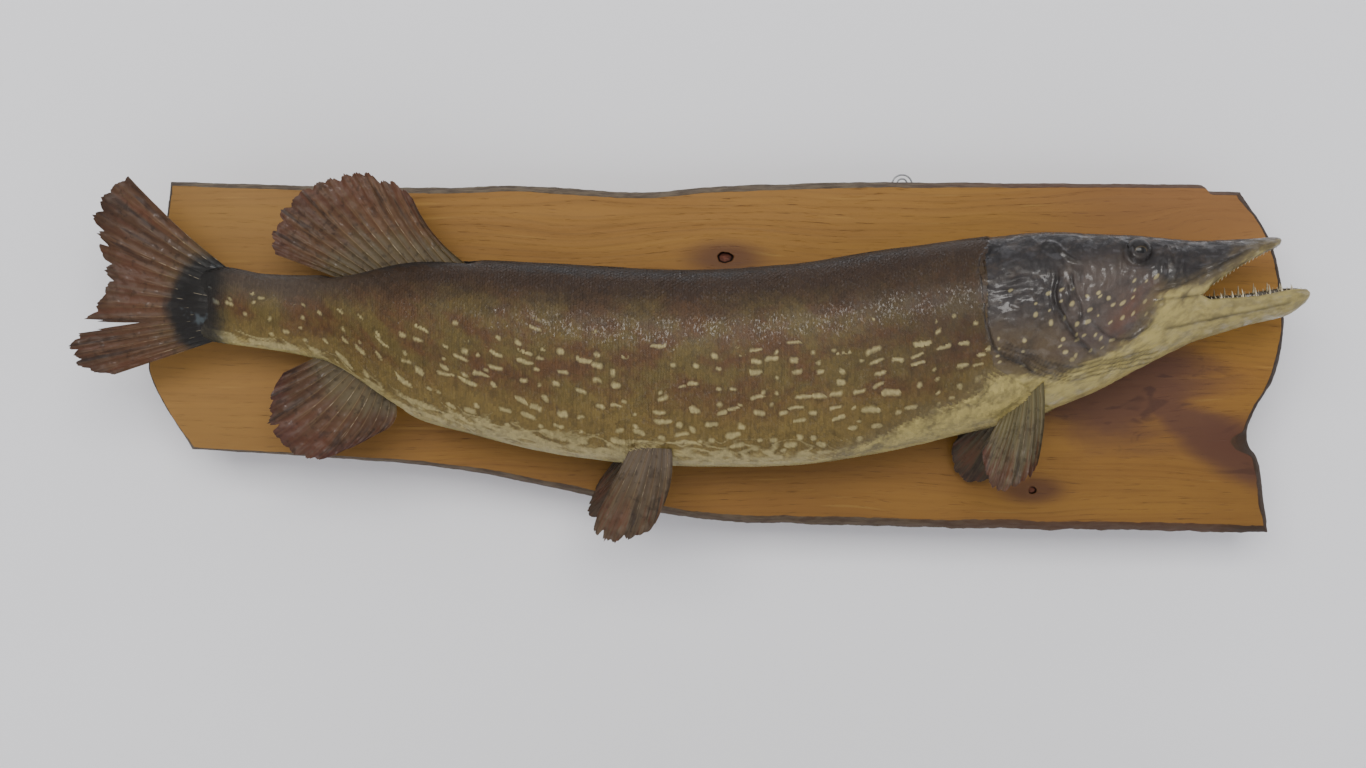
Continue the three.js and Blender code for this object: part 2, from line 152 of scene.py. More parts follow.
@contextlib.contextmanager
def opened(piece):
    """The piece's mesh, open for changes."""
    form = bmesh.new()
    form.from_mesh(piece.data)
    yield form
    form.to_mesh(piece.data)
    form.free()


def smooth_by_angle(piece, degrees):
    """Smooth shading, broken at edges that turn by more than this."""
    with opened(piece) as form:
        for edge in form.edges:
            edge.smooth = len(edge.link_faces) == 2 and edge.calc_face_angle(0) < math.radians(degrees)


def face_outwards(piece):
    with opened(piece) as form:
        bmesh.ops.recalc_face_normals(form, faces=form.faces)


def ring_faces(rings, sides, start=0):
    """Quads between closed rings of points that are numbered one ring after another."""
    starts = range(start, start + (rings - 1) * sides, sides)
    pairs = [(side, (side + 1) % sides) for side in range(sides)]
    return [(k + a, k + b, k + b + sides, k + a + sides) for k in starts for a, b in pairs]


def board_outline():
    """The board's outline, and how far each point of it comes in across the wane."""
    outline, inward = [], []
    for k, (first, last, points) in enumerate(BOARD_EDGES):
        curve = curve_at(points, np.linspace(0, 1, 601))
        length = run_of(curve)[-1]
        steps = np.arange(0, length - OUTLINE_STEP / 2, OUTLINE_STEP)
        outline.append(walk(curve, steps))
        share = (steps / length)[:, None]
        shift = np.array(first) * (1 - share) + np.array(last) * share
        shift = shift * np.hstack([np.ones_like(share), 1 + 0.5 * np.sin(np.pi * share)])
        before, after = np.array(BOARD_EDGES[k - 1][1]), np.array(BOARD_EDGES[(k + 1) % 4][0])
        shift = shift + before * (1 - ease(steps, 0, CORNER_RUN))[:, None]
        shift = shift + after * (1 - ease(length - steps, 0, CORNER_RUN))[:, None]
        if k == 1:
            middle, half, depth = OPEN_KNOT
            shift[:, 0] -= depth * np.exp(-(((outline[k][:, 1] - middle) / half) ** 4))
        inward.append(shift)
    return np.vstack(outline), np.vstack(inward)


def board_rings():
    """Rings round the board's edge from its back to its front, and how planed each ring is."""
    outline, inward = board_outline()
    rings = []
    for share, inset in WANE_PROFILE:
        at = np.insert(outline, 1, share * BOARD_THICKNESS, 1)
        rough = 0.13 * ripple(at, 38) + 0.07 * ripple(at * [1, 2.5, 1], 6)
        rings.append(np.insert(outline + inward * (inset + rough)[:, None], 1, -share * BOARD_THICKNESS, 1))
    further_in = np.insert(0.12 * inward, 1, 0, 1)
    rings = [rings[0] + further_in] + rings + [rings[-1] + further_in]
    planed = [1, *(min(1, max(0, (inset - 0.9) / 0.15)) for _, inset in WANE_PROFILE), 1]
    return np.array(rings), np.repeat(planed, len(outline))


def pit_rings(x, z, half_width, half_height, depth):
    """Rings from a knot's rim down to its floor, on an uneven oval."""
    turns = np.linspace(0, 2 * np.pi, 40, endpoint=False)
    wobble = 1 + 0.06 * np.sin(2 * turns + x) + 0.05 * np.sin(3 * turns + z) + 0.03 * np.sin(7 * turns)
    oval = np.stack([half_width * wobble * np.cos(turns), half_height * wobble * np.sin(turns)], 1)
    return np.array([np.insert([x, z] + reach * oval, 1, drop * depth - BOARD_THICKNESS, 1)
                     for reach, drop in PIT_PROFILE])


def inside_ring(points, ring):
    """Which points lie within a closed ring."""
    inside = np.zeros(len(points), bool)
    for (x0, z0), (x1, z1) in zip(ring, np.roll(ring, -1, 0)):
        between = (points[:, 1] < z0) != (points[:, 1] < z1)
        reach = x0 + (points[:, 1] - z0) * (x1 - x0) / (z1 - z0 if z1 != z0 else 1)
        inside ^= between & (points[:, 0] < reach)
    return inside


def filled_face(edge, *holes):
    """Triangles over a face, between its edge and any holes, on an even net of points."""
    grid = np.stack(np.meshgrid(np.arange(-470, 480, NET), np.arange(-150, 150, NET)), -1).reshape(-1, 2)
    grid = grid[[np.min(np.hypot(*(edge - p).T)) > 9 for p in grid]]
    for ring in holes:
        grid = grid[[np.min(np.hypot(*(ring - p).T)) > 4 for p in grid] & ~inside_ring(grid, ring)]
    edges, start = [], 0
    for ring in (edge, *holes):
        edges += [(start + k, start + (k + 1) % len(ring)) for k in range(len(ring))]
        start += len(ring)
    flat = [Vector(p) for p in np.vstack([edge, *holes, grid])]
    points, _, faces, origin, _, _ = delaunay_2d_cdt(flat, edges, [], 1, 1e-5)
    spots = np.array([list(p) for p in points])
    middles = np.array([spots[list(f)].mean(0) for f in faces])
    solid = ~np.any([np.zeros(len(faces), bool)] + [inside_ring(middles, ring) for ring in holes], axis=0)
    return [[origin[v][0] for v in f] for f, keep in zip(faces, solid) if keep], grid


def make_board():
    edge, planed = board_rings()
    sides = edge.shape[1]
    points, faces = edge.reshape(-1, 3), ring_faces(*edge.shape[:2])
    front = [np.arange(len(points) - sides, len(points))]
    for knot in KNOTS:
        rings, held = pit_rings(*knot), len(points)
        faces += ring_faces(*rings.shape[:2], held)
        points = np.vstack([points, rings.reshape(-1, 3)])
        faces.append(range(len(points) - rings.shape[1], len(points)))
        front.append(np.arange(held, held + rings.shape[1]))
    for rims, y in ((front, -float(BOARD_THICKNESS)), ([np.arange(sides)], 0.0)):
        sheet, grid = filled_face(*(points[rim][:, [0, 2]] for rim in rims))
        numbers = np.concatenate(rims + [len(points) + np.arange(len(grid))])
        faces += [numbers[f] for f in sheet]
        points = np.vstack([points, np.insert(grid, 1, y, 1)])
    piece = new_piece("oak_board", points, faces)
    face_outwards(piece)
    add_values(piece, planed=np.append(planed, np.ones(len(points) - len(planed))))
    return piece


def cut_pocket(piece):
    left, right, floor, depth = POCKET
    low, high = (left, -depth, floor), (right, 6, 170)
    corners = [[(low, high)[(i >> axis) & 1][axis] for axis in range(3)] for i in range(8)]
    sides = [(0, 2, 3, 1), (4, 5, 7, 6), (0, 1, 5, 4), (2, 6, 7, 3), (0, 4, 6, 2), (1, 3, 7, 5)]
    cutter = new_piece("pocket_cutter", corners, sides)
    cut = piece.modifiers.new("pocket", "BOOLEAN")
    cut.object, cut.operation, cut.solver = cutter, "DIFFERENCE", "EXACT"
    solved = piece.evaluated_get(bpy.context.evaluated_depsgraph_get())
    piece.data = bpy.data.meshes.new_from_object(solved)
    piece.modifiers.clear()
    bpy.data.objects.remove(cutter)


def paint(code):
    """A linear colour from its hex code."""
    levels = [int(code[i:i + 2], 16) / 255 for i in (1, 3, 5)]
    return tuple(c / 12.92 if c <= 0.04045 else ((c + 0.055) / 1.055) ** 2.4 for c in levels) + (1.0,)


class Value:
    """What a socket gives in a node tree. Sums with it place the nodes that work them out."""

    def __init__(self, socket):
        self.socket = socket

    def __getitem__(self, name):
        return Value(self.socket.node.outputs[name])

    def __add__(self, other):
        return calc("ADD", self, other)

    def __sub__(self, other):
        return calc("SUBTRACT", self, other)

    def __mul__(self, other):
        return calc("MULTIPLY", self, other)

    def __truediv__(self, other):
        return calc("DIVIDE", self, other)

    def __pow__(self, other):
        return calc("POWER", self, other)

    def __abs__(self):
        return calc("ABSOLUTE", self)


def place(kind, inputs, tree=None, **settings):
    """A new node's first output. Each input takes a number, a colour, its hex code or a Value."""
    tree = tree or next(v.socket.id_data for v in inputs.values() if isinstance(v, Value))
    made = tree.nodes.new(kind)
    for name, value in settings.items():
        setattr(made, name, value)
    for key, value in inputs.items():
        if isinstance(value, Value):
            tree.links.new(value.socket, made.inputs[key])
        else:
            made.inputs[key].default_value = paint(value) if isinstance(value, str) else value
    return Value(made.outputs[0])


def feed(node, **values):
    """Wires values into a node's sockets, named with _ for each space."""
    for name, value in values.items():
        node.id_data.links.new(value.socket, node.inputs[name.replace("_", " ")])


def calc(operation, a, b=0.0):
    return place("ShaderNodeMath", {0: a, 1: b}, operation=operation)


def blend(share, a, b):
    """Colour a, turning to b as share goes from 0 to 1."""
    made = place("ShaderNodeMix", {0: share, 6: a, 7: b}, data_type="RGBA")
    return Value(made.socket.node.outputs[2])


def coats(colour, *layers):
    """Colours laid over a first one in turn, each by its share."""
    for share, code in layers:
        colour = blend(share, colour, code)
    return colour


def fade(value, low, high, start=0.0, end=1.0):
    """start below low, end above high, and smooth between."""
    inputs = {0: value, 1: low, 2: high, 3: start, 4: end}
    return place("ShaderNodeMapRange", inputs, interpolation_type="SMOOTHSTEP")


def speckle(vector, scale, detail=2.0, roughness=0.5, distortion=0.0, shift=(0, 0, 0)):
    """Noise about 0.5, with that many bumps to the metre along each axis."""
    scale = scale if isinstance(scale, tuple) else (scale,) * 3
    moved = place("ShaderNodeMapping", {"Vector": vector, "Location": shift, "Scale": scale})
    inputs = {"Vector": moved, "Scale": 1.0, "Detail": detail}
    inputs |= {"Roughness": roughness, "Distortion": distortion}
    return place("ShaderNodeTexNoise", inputs)["Fac"]


def split(vector):
    parts = place("ShaderNodeSeparateXYZ", {0: vector})
    return parts["X"], parts["Y"], parts["Z"]


def join(x, y, z):
    return place("ShaderNodeCombineXYZ", {0: x, 1: y, 2: z})


def length_of(x, y):
    return calc("SQRT", x * x + y * y)


def bump(height, distance, strength):
    return place("ShaderNodeBump", {"Height": height, "Distance": distance, "Strength": strength})


def attribute(made, name, output="Fac"):
    return place("ShaderNodeAttribute", {}, tree=made.node_tree, attribute_name=name)[output]


def position_in(made):
    return place("ShaderNodeTexCoord", {}, tree=made.node_tree)["Object"]


def new_group(name, inputs, outputs):
    """A shader node group with those sockets: the values given to it, and its output node."""
    tree = bpy.data.node_groups.new(name, "ShaderNodeTree")
    for side, sockets in (("INPUT", inputs), ("OUTPUT", outputs)):
        for kind, labels in sockets.items():
            for label in labels:
                tree.interface.new_socket(label, in_out=side, socket_type="NodeSocket" + kind)
    given = tree.nodes.new("NodeGroupInput").outputs
    return {socket.name: Value(socket) for socket in given if socket.name}, tree.nodes.new("NodeGroupOutput")


def use_group(name, inputs):
    return place("ShaderNodeGroup", inputs, node_tree=bpy.data.node_groups[name])


def new_material(name, **settings):
    """A material and its Principled shader with those plain settings."""
    made = bpy.data.materials.new(name)
    made.use_nodes = True
    shader = made.node_tree.nodes["Principled BSDF"]
    for socket, value in settings.items():
        shader.inputs[socket.replace("_", " ")].default_value = value
    return made, shader


def grain_flow_group():
    """Where the grain runs: each knot pushes the lines apart round itself."""
    inputs = {"Vector": ["Vector"], "Float": ["Knot X", "Knot Z", "Reach", "Push"]}
    given, result = new_group("grain round a knot", inputs, {"Vector": ["Vector"], "Float": ["Near"]})
    x, y, z = split(given["Vector"])
    above = z - given["Knot Z"]
    dx = (x - given["Knot X"]) / (given["Reach"] * 2.4)
    dz = above / given["Reach"]
    near = calc("EXPONENT", (dx * dx + dz * dz) * -1.0)
    feed(result, Vector=join(x, y, z - near * given["Push"] * above), Near=near)


OAK = {"light": "#8b6427", "honey": "#805924", "dark": "#64461c", "tan": "#74501f", "sapwood": "#9a7838"}
OAK |= {"pore": "#4a2f14", "red": "#4c2f27", "vein": "#331d1b", "halo": "#4c2c20", "dry": "#8c6c40"}
OAK |= {"blush": "#80583a", "knot": "#1d120d", "knot floor": "#76483a"}
OAK |= {"bark": "#5f5342", "bark dark": "#42362a", "bark red": "#4f3324"}
OAK |= {"sawn": "#33271d", "shadow": "#3d2611"}
GRAIN_KNOTS = [  # x, z, reach, push, halo
    (8, 83, 19, 0.92, 0.95), (265, -111, 15, 0.9, 1.0), (446, -70, 34, 0.85, 0.75), (-330, 118, 26, 0.4, 0),
    (330, 120, 30, 0.5, 0), (404, 108, 15, 0.8, 0), (160, -118, 18, 0.4, 0), (-120, 118, 24, 0.35, 0),
]


def oak_material():
    varnish = {"Coat_Weight": 0.02, "Coat_Roughness": 0.25, "Specular_IOR_Level": 0.2}
    made, shader = new_material("varnished_oak", **varnish)
    position = position_in(made)
    flow, knots = position, 0.0
    for x, z, reach, push, halo in GRAIN_KNOTS:
        place_of_knot = {"Knot X": x * MM, "Knot Z": z * MM, "Reach": reach * MM, "Push": push}
        knot = use_group("grain round a knot", {"Vector": flow} | place_of_knot)
        flow = knot["Vector"]
        knots = calc("MAXIMUM", knot["Near"] * halo, knots)
    x, y, z = split(flow)
    grain = join(x, y, z + speckle(position, (3, 3, 9)) * 0.035)

    figure = speckle(grain, (2.6, 12, 38), 4.0, 0.6)
    streaks = speckle(grain, (9, 60, 300), 3.0, 0.6)
    pale_streaks = speckle(grain, (14, 40, 260), 1.0, 0.4, shift=(3, 1, 2))
    bands = {"Vector": place("ShaderNodeMapping", {"Vector": grain, "Scale": (1.1, 4, 17)}), "Scale": 3.2}
    bands |= {"Distortion": 9.0, "Detail": 3.0, "Detail Scale": 0.5, "Detail Roughness": 0.55}
    rings = place("ShaderNodeTexWave", bands, bands_direction="Z", wave_profile="SAW")["Fac"]
    late = fade(rings, 0.5, 1.0) * fade(figure, 0.35, 0.75, 0.08, 0.5)
    open_pores = fade(speckle(grain, (55, 200, 1500), 2.0, 0.6), 0.6, 0.72) * fade(rings, 0.2, 0.9, 0.25, 0.9)
    colour = coats(
        OAK["light"],
        (fade(figure, 0.3, 0.7), OAK["honey"]),
        (late, OAK["dark"]),
        (fade(streaks, 0.5, 0.8, 0.0, 0.4), OAK["dark"]),
        (fade(speckle(position, (5, 5, 8), 3.0, shift=(6, 0, 2)), 0.45, 0.72, 0.0, 0.5), OAK["tan"]),
        (fade(pale_streaks, 0.66, 0.78, 0.0, 0.4), OAK["sapwood"]),
        (open_pores, OAK["pore"]),
    )

    # A red-brown heart runs through the lower right, round the knot at the edge.
    px, _, pz = split(position)
    oval = length_of(px * 12.0 - 3.96, pz * 22.0 + 0.62)
    tongue = abs(px * 26.0 + (pz * 44.0 - 7.9)) + fade(px, 0.37, 0.33, 0.0, 2.0)
    cloud = speckle(grain, (9, 10, 26), 4.0, 0.6, 0.6)
    heart = fade((cloud - 0.5) * -1.5 + calc("MINIMUM", oval, tongue), 1.45, 0.45)
    veins = fade(speckle(grain, (14, 10, 46), 3.0, 0.5, 1.6, (2, 0, 5)), 0.58, 0.66)

    # The planed face, the bark-side wane with its grey-brown inner bark, and the darkened rims.
    bark_noise = speckle(position, (60, 160, 160), 4.0, 0.65)
    bark = blend(fade(bark_noise, 0.35, 0.65), OAK["bark dark"], OAK["bark"])
    bark = blend(fade(px, 0.1, 0.3, 0.0, 0.65), bark, OAK["bark red"])
    planed = attribute(made, "planed")
    worn = planed + bark_noise * 0.3
    pits = attribute(made, "pit")
    floor = blend(fade(bark_noise, 0.35, 0.6), OAK["knot"], OAK["knot floor"])
    colour = coats(
        colour,
        (heart * 0.85, OAK["red"]),
        (veins * heart * 0.55, OAK["vein"]),
        (fade(knots, 0.3, 0.92, 0.0, 0.75), OAK["halo"]),
        (fade(px, -0.2, -0.42, 0.0, 0.4), OAK["dry"]),
        (fade(px, 0.2, 0.4, 0.0, 0.55) * fade(pz, 0.05, 0.11), OAK["blush"]),
        (fade(worn, 1.12, 0.75), bark),
        (attribute(made, "sawn") * fade(planed, 1.0, 0.6), OAK["sawn"]),
        (fade(pits, 0.02, 0.2), OAK["knot"]),
        (fade(pits, 0.75, 1.0), floor),
        (fade(pz, 0.0, -0.12, 0.0, 0.3), OAK["shadow"]),
    )
    dull = calc("MAXIMUM", fade(worn, 1.1, 0.8), fade(pits, 0.02, 0.3))
    relief = bark_noise * dull * 3.0 + (streaks * 0.25 + open_pores * -0.6)
    rough = fade(streaks, 0.3, 0.8, 0.42, 0.55) + dull * 0.35
    feed(shader, Base_Color=colour, Roughness=rough, Normal=bump(relief, 0.0004, 0.6))
    return made


grain_flow_group()
oak_board = make_board()
cut_pocket(oak_board)
smooth_by_angle(oak_board, 40)
board_points = vectors_of(oak_board)
pit = np.zeros(len(board_points))
for x, z, half_width, half_height, depth in KNOTS:
    inside = np.hypot((board_points[:, 0] - x) / half_width, (board_points[:, 2] - z) / half_height) < 1.4
    pit[inside] = np.clip((board_points[inside, 1] + BOARD_THICKNESS) / depth, 0, 1)
add_values(oak_board, pit=pit, sawn=np.clip((np.abs(board_points[:, 0] + 6) - 425) / 25, 0, 1))
oak_board.data.materials.append(oak_material())
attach(oak_board, "root")
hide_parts("board")

# ---------------------------------------------------------------------------------------------
# Hanger: two galvanised nails driven into the pocket in the board's back, and one soft wire
# hooked round both of them, doubled into an arch that stands above the board's top edge.

HANGER_X, WIRE_Y, WIRE_RADIUS = 156.5, -3.4, 0.7
OUTER_ARCH, INNER_ARCH = (8.4, 143.6), (4.1, 144.6)  # radius, height of its centre
NAIL_SPREAD, NAIL_HEIGHT, NAIL_COLLAR = 7, 116, 1.2
NAIL_PROFILE = [(1.2, -4.7), (1.2, -2.1), (1.5, -1.9), (2.5, -1.9), (2.6, -1.7), (2.6, -1.3), (2.4, -1.0)]
NAIL_PROFILE += [(1.6, -0.84)]  # radius and y, from the wood out
WIRE_SIDES, NAIL_SIDES = 14, 28


def turn(x, z, radius, start, end):
    """Points round an arc in the hanger's plane, at every 15 degrees."""
    turns = np.radians(np.linspace(start, end, int(abs(end - start) / 15) + 1))
    return np.column_stack([x + radius * np.cos(turns), z + radius * np.sin(turns)])


def wire_path():
    hook = NAIL_COLLAR + WIRE_RADIUS + 0.6
    left, right = HANGER_X - NAIL_SPREAD, HANGER_X + NAIL_SPREAD
    low, middle, high = NAIL_HEIGHT - 1, NAIL_HEIGHT + 10, NAIL_HEIGHT + 20
    legs = [
        [(left - hook, low), (left - hook, middle), (left - hook + 0.5, high)],
        turn(HANGER_X, OUTER_ARCH[1], OUTER_ARCH[0], 180, 0),
        [(right + hook - 0.5, high), (right + hook, middle)],
        turn(right, NAIL_HEIGHT, hook, 0, -180),
        [(right - hook - 0.2, middle), (right - hook - 0.4, high)],
        turn(HANGER_X, INNER_ARCH[1], INNER_ARCH[0], 0, 180),
        [(left + hook + 0.4, high), (left + hook + 0.2, middle)],
        turn(left, NAIL_HEIGHT, hook, 0, -75),
    ]
    return curve_at(np.vstack(legs), np.linspace(0, 1, 260, endpoint=False))


def unit(vectors):
    return vectors / np.linalg.norm(vectors, axis=-1, keepdims=True)


def rod(name, rings):
    """A closed piece from rings of points, one after another."""
    count, sides = rings.shape[:2]
    caps = [range(sides)[::-1], range((count - 1) * sides, count * sides)]
    piece = new_piece(name, rings.reshape(-1, 3), ring_faces(count, sides) + caps)
    face_outwards(piece)
    smooth_by_angle(piece, 50)
    return piece


def make_wire():
    path = wire_path()
    run = unit(np.gradient(path, axis=0))
    turns = np.linspace(0, 2 * np.pi, WIRE_SIDES, endpoint=False)
    out, depth = WIRE_RADIUS * np.cos(turns), WIRE_RADIUS * np.sin(turns)
    spots = [(*place_at, *along) for place_at, along in zip(path, run)]
    rings = [np.column_stack([x - rz * out, WIRE_Y + depth, z + rx * out]) for x, z, rx, rz in spots]
    return rod("galvanised_wire", np.array(rings))


def make_nail(name, x):
    turns = np.linspace(0, 2 * np.pi, NAIL_SIDES, endpoint=False)
    flat = np.stack([np.cos(turns), np.sin(turns)], 1)
    rings = [np.insert([x, NAIL_HEIGHT] + radius * flat, 1, y, 1) for radius, y in NAIL_PROFILE]
    return rod(name, np.array(rings))


def zinc_material():
    made, shader = new_material("galvanised_steel", Metallic=0.9)
    position = position_in(made)
    spangle = speckle(position, 500, 3.0, 0.6)
    rust = fade(speckle(position, 160, 3.0, 0.6), 0.6, 0.72)
    colour = blend(rust, blend(spangle, "#6c6e70", "#96989a"), "#5b3a26")
    feed(shader, Base_Color=colour, Roughness=fade(rust, 0, 1, 0.36, 0.75), Normal=bump(spangle, 0.0001, 0.6))
    return made


zinc = zinc_material()
hanger_parts = {
    "hanger_wire": make_wire(),
    "hanger_nail_left": make_nail("nail_left", HANGER_X - NAIL_SPREAD),
    "hanger_nail_right": make_nail("nail_right", HANGER_X + NAIL_SPREAD),
}
for node, piece in hanger_parts.items():
    piece.data.materials.append(zinc)
    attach(piece, "root")
    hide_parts(node)

# ---------------------------------------------------------------------------------------------
# Skin: the fish's own skin, dried over a carved form from the tail's flesh to both jaws, with the
# mouth's lining inside. It is painted, then varnished; the head shrinks into wrinkles as it dries.
# The far flank is screwed to the board through its back.

BODY = [  # x, back z, belly z, half width, middle y, waist share, squareness above and below it
    (-424, 60, 30, 0.3, -82.8, 0.5, 2, 2), (-408, 71, 19, 5.6, -82.8, 0.5, 2, 2),
    (-392, 74, 15.5, 10, -82, 0.5, 2, 2), (-362, 69.5, 11, 15, -80, 0.5, 2, 2),
    (-325, 67.5, 4, 19, -78, 0.5, 2, 2), (-300, 69.5, -8, 25, -77, 0.5, 2.1, 2),
    (-250, 78.5, -41, 36, -75, 0.5, 2.2, 2.1), (-205, 80.5, -56, 41, -74, 0.5, 2.3, 2.2),
    (-130, 77.5, -74, 46, -74, 0.5, 2.4, 2.3), (-33, 72, -83.5, 49, -74, 0.5, 2.4, 2.3),
    (60, 77, -82.5, 50, -74, 0.5, 2.4, 2.3), (143, 89.5, -70.5, 51, -75, 0.5, 2.5, 2.3),
    (214, 98.5, -53.5, 50, -77, 0.5, 2.6, 2.2), (259, 103, -41.5, 47, -80, 0.48, 2.8, 2.1),
    (305, 101.5, -23, 42, -83, 0.46, 3, 1.9), (331, 101, -9, 39, -84, 0.475, 3, 1.8),
    (356, 98.5, 4.5, 36, -86, 0.498, 2.8, 1.8), (376, 96.4, 14.6, 32.8, -87, 0.485, 2.6, 1.9),
]
UPPER_JAW = [
    (356, 98.5, 52.5, 36, -86, 0.15, 2.6, 5), (374, 96.5, 55.5, 33, -87, 0.15, 2.5, 5),
    (388, 96.5, 63, 31, -87, 0.15, 2.4, 5), (406, 97, 75, 29, -88, 0.15, 2.4, 5),
    (424, 98, 84.5, 24, -89, 0.2, 2.3, 4), (440, 99, 91.5, 16, -89, 0.3, 2.2, 3),
    (447, 99, 95, 7, -89, 0.5, 2, 2),
]
LOWER_JAW = [
    (356, 51.5, 4.5, 36, -86, 0.85, 5, 1.9), (374, 50.5, 14, 33, -87, 0.85, 5, 1.9),
    (396, 52, 21.5, 30, -88, 0.85, 5, 2), (422, 53.5, 29.5, 27, -89, 0.8, 5, 2),
    (449, 58, 36, 20, -90, 0.7, 4, 2.1), (463, 58.5, 44, 12, -90, 0.6, 3, 2.2),
    (471, 56.5, 51, 4, -90, 0.5, 2, 2),
]
MOUTH_CORNER, UPPER_TIP, LOWER_TIP = 376, 447.4, 471.4
LIP, PALATE_DEPTH, FLOOR_DEPTH, TONGUE_HEIGHT = 3.4, 7, 12, 8.5
QUARTER = 60  # columns of the skin in each quarter of its girth
INNER = 60  # columns across the inside of the mouth
COAT_DEPTH = 0.9  # the scales stand on skin that lies this far in
EYE = (329.5, 88, 10.5, 6)  # x, z, radius and how deep its centre lies
HEAD_EDGE = [(0, 268), (0.1, 262), (0.2, 250), (0.3, 234), (0.38, 214), (0.5, 207), (0.8, 208), (1, 216)]
GILL_MARGIN = [(222, 92), (211, 88), (206.5, 80), (206, 66), (208, 50), (211, 28), (217, 14), (232, 4)]
GILL_MARGIN += [(250, -5)]
GILL_FOLD = [(266, 84), (263, 72), (261.5, 63), (261, 55.5), (263.6, 44), (269, 34), (275, 25), (282, 18)]
GILL_FOLD += [(291, 10), (301, 4)]
CHEEK_FOLD = [(274, 70), (275, 62), (277.5, 54), (281, 45), (281, 38), (278, 30)]
CHEEK_RING = [(288, 38), (291.6, 31), (299.6, 24.3), (310, 19.5), (321.4, 20), (330, 24), (337, 31)]
CHEEK_RING += [(340, 40)]
NAPE_FOLD = [(246, 88), (254, 93), (262, 94), (269, 88), (276, 82), (288, 80)]
THROAT_FOLD = [(222, 17), (230, 13.5), (243.6, 6.5), (258.6, 0), (274, -3), (290, -1), (307, 3.5)]
THROAT_FOLD += [(327, 7), (350, 12)]
LIP_LINE = [(339, 50), (349, 51), (362, 52.6), (376, 54)]
MAXILLA = [(338, 57), (350, 59), (364, 64), (384, 74), (402, 84), (420, 91)]
SNOUT_GROOVE = [(366, 74), (380, 77), (396, 81), (410, 87)]
JAW_GROOVE = [(346, 27), (366, 31), (394, 37), (424, 43), (452, 49)]
BROW = [(306, 97), (318, 99.5), (332, 100.5), (346, 98), (362, 93.5), (388, 91)]
NOSTRILS = [(351, 92), (357.5, 90.5)]
JAW_PORES = [(362, 33.5), (450, 48.7)]  # the first and last of a row of nine
WRINKLED = [(232, 62, 20, 26, 1), (355, 76, 11, 13, 1), (272, 58, 16, 22, 1), (315, 76, 14, 9, 0.6)]


def rows_at(rows, x):
    """A table's rows at those x, on smooth curves through it."""
    rows = np.array(rows, float)
    xs = rows[:, 0]
    low, high = np.maximum(np.arange(len(xs)) - 1, 0), np.minimum(np.arange(len(xs)) + 1, len(xs) - 1)
    slopes = (rows[high] - rows[low]) / (xs[high] - xs[low])[:, None]
    i = np.clip(np.searchsorted(xs, x) - 1, 0, len(xs) - 2)
    span = (xs[i + 1] - xs[i])[:, None]
    t = (x - xs[i])[:, None] / span
    a, b, ma, mb = rows[i], rows[i + 1], slopes[i] * span, slopes[i + 1] * span
    leaving = (2 * t**3 - 3 * t**2 + 1) * a + (t**3 - 2 * t**2 + t) * ma
    return leaving + (3 * t**2 - 2 * t**3) * b + (t**3 - t**2) * mb


def row_at(rows, x):
    return rows_at(rows, np.array([float(x)]))[0]


def rounded(value, squareness):
    return np.sign(value) * np.abs(value) ** (2 / squareness)


def section(row, start, end, steps):
    """The body's outline across at one row, between turns: 0 is the near flank, 90 the back."""
    _, back, belly, half, axis, waist, above, below = row
    turns = np.radians(np.linspace(start, end, steps))
    middle = belly + (back - belly) * waist
    up = np.sin(turns) >= 0
    squareness = np.where(up, above, below)
    height = np.where(up, back - middle, middle - belly)
    y = axis - half * rounded(np.cos(turns), squareness)
    return np.stack([y, middle + height * rounded(np.sin(turns), squareness)], 1)


def spaced(line, count):
    """count + 1 points at even steps along a line."""
    return walk(line, np.linspace(0, run_of(line)[-1], count + 1))


def body_rings():
    xs = np.concatenate([np.arange(-424, 203, 4), np.arange(203, MOUTH_CORNER + 0.01, 1.2361)])
    xs[-1] = MOUTH_CORNER
    rings = []
    for x, row in zip(xs, rows_at(BODY, xs)):
        quarters = [spaced(section(row, start, start + 90, 160), QUARTER)[:-1] for start in (270, 0, 90, 180)]
        rings.append(np.insert(np.vstack(quarters), 0, x, 1))
    return xs, np.array(rings)


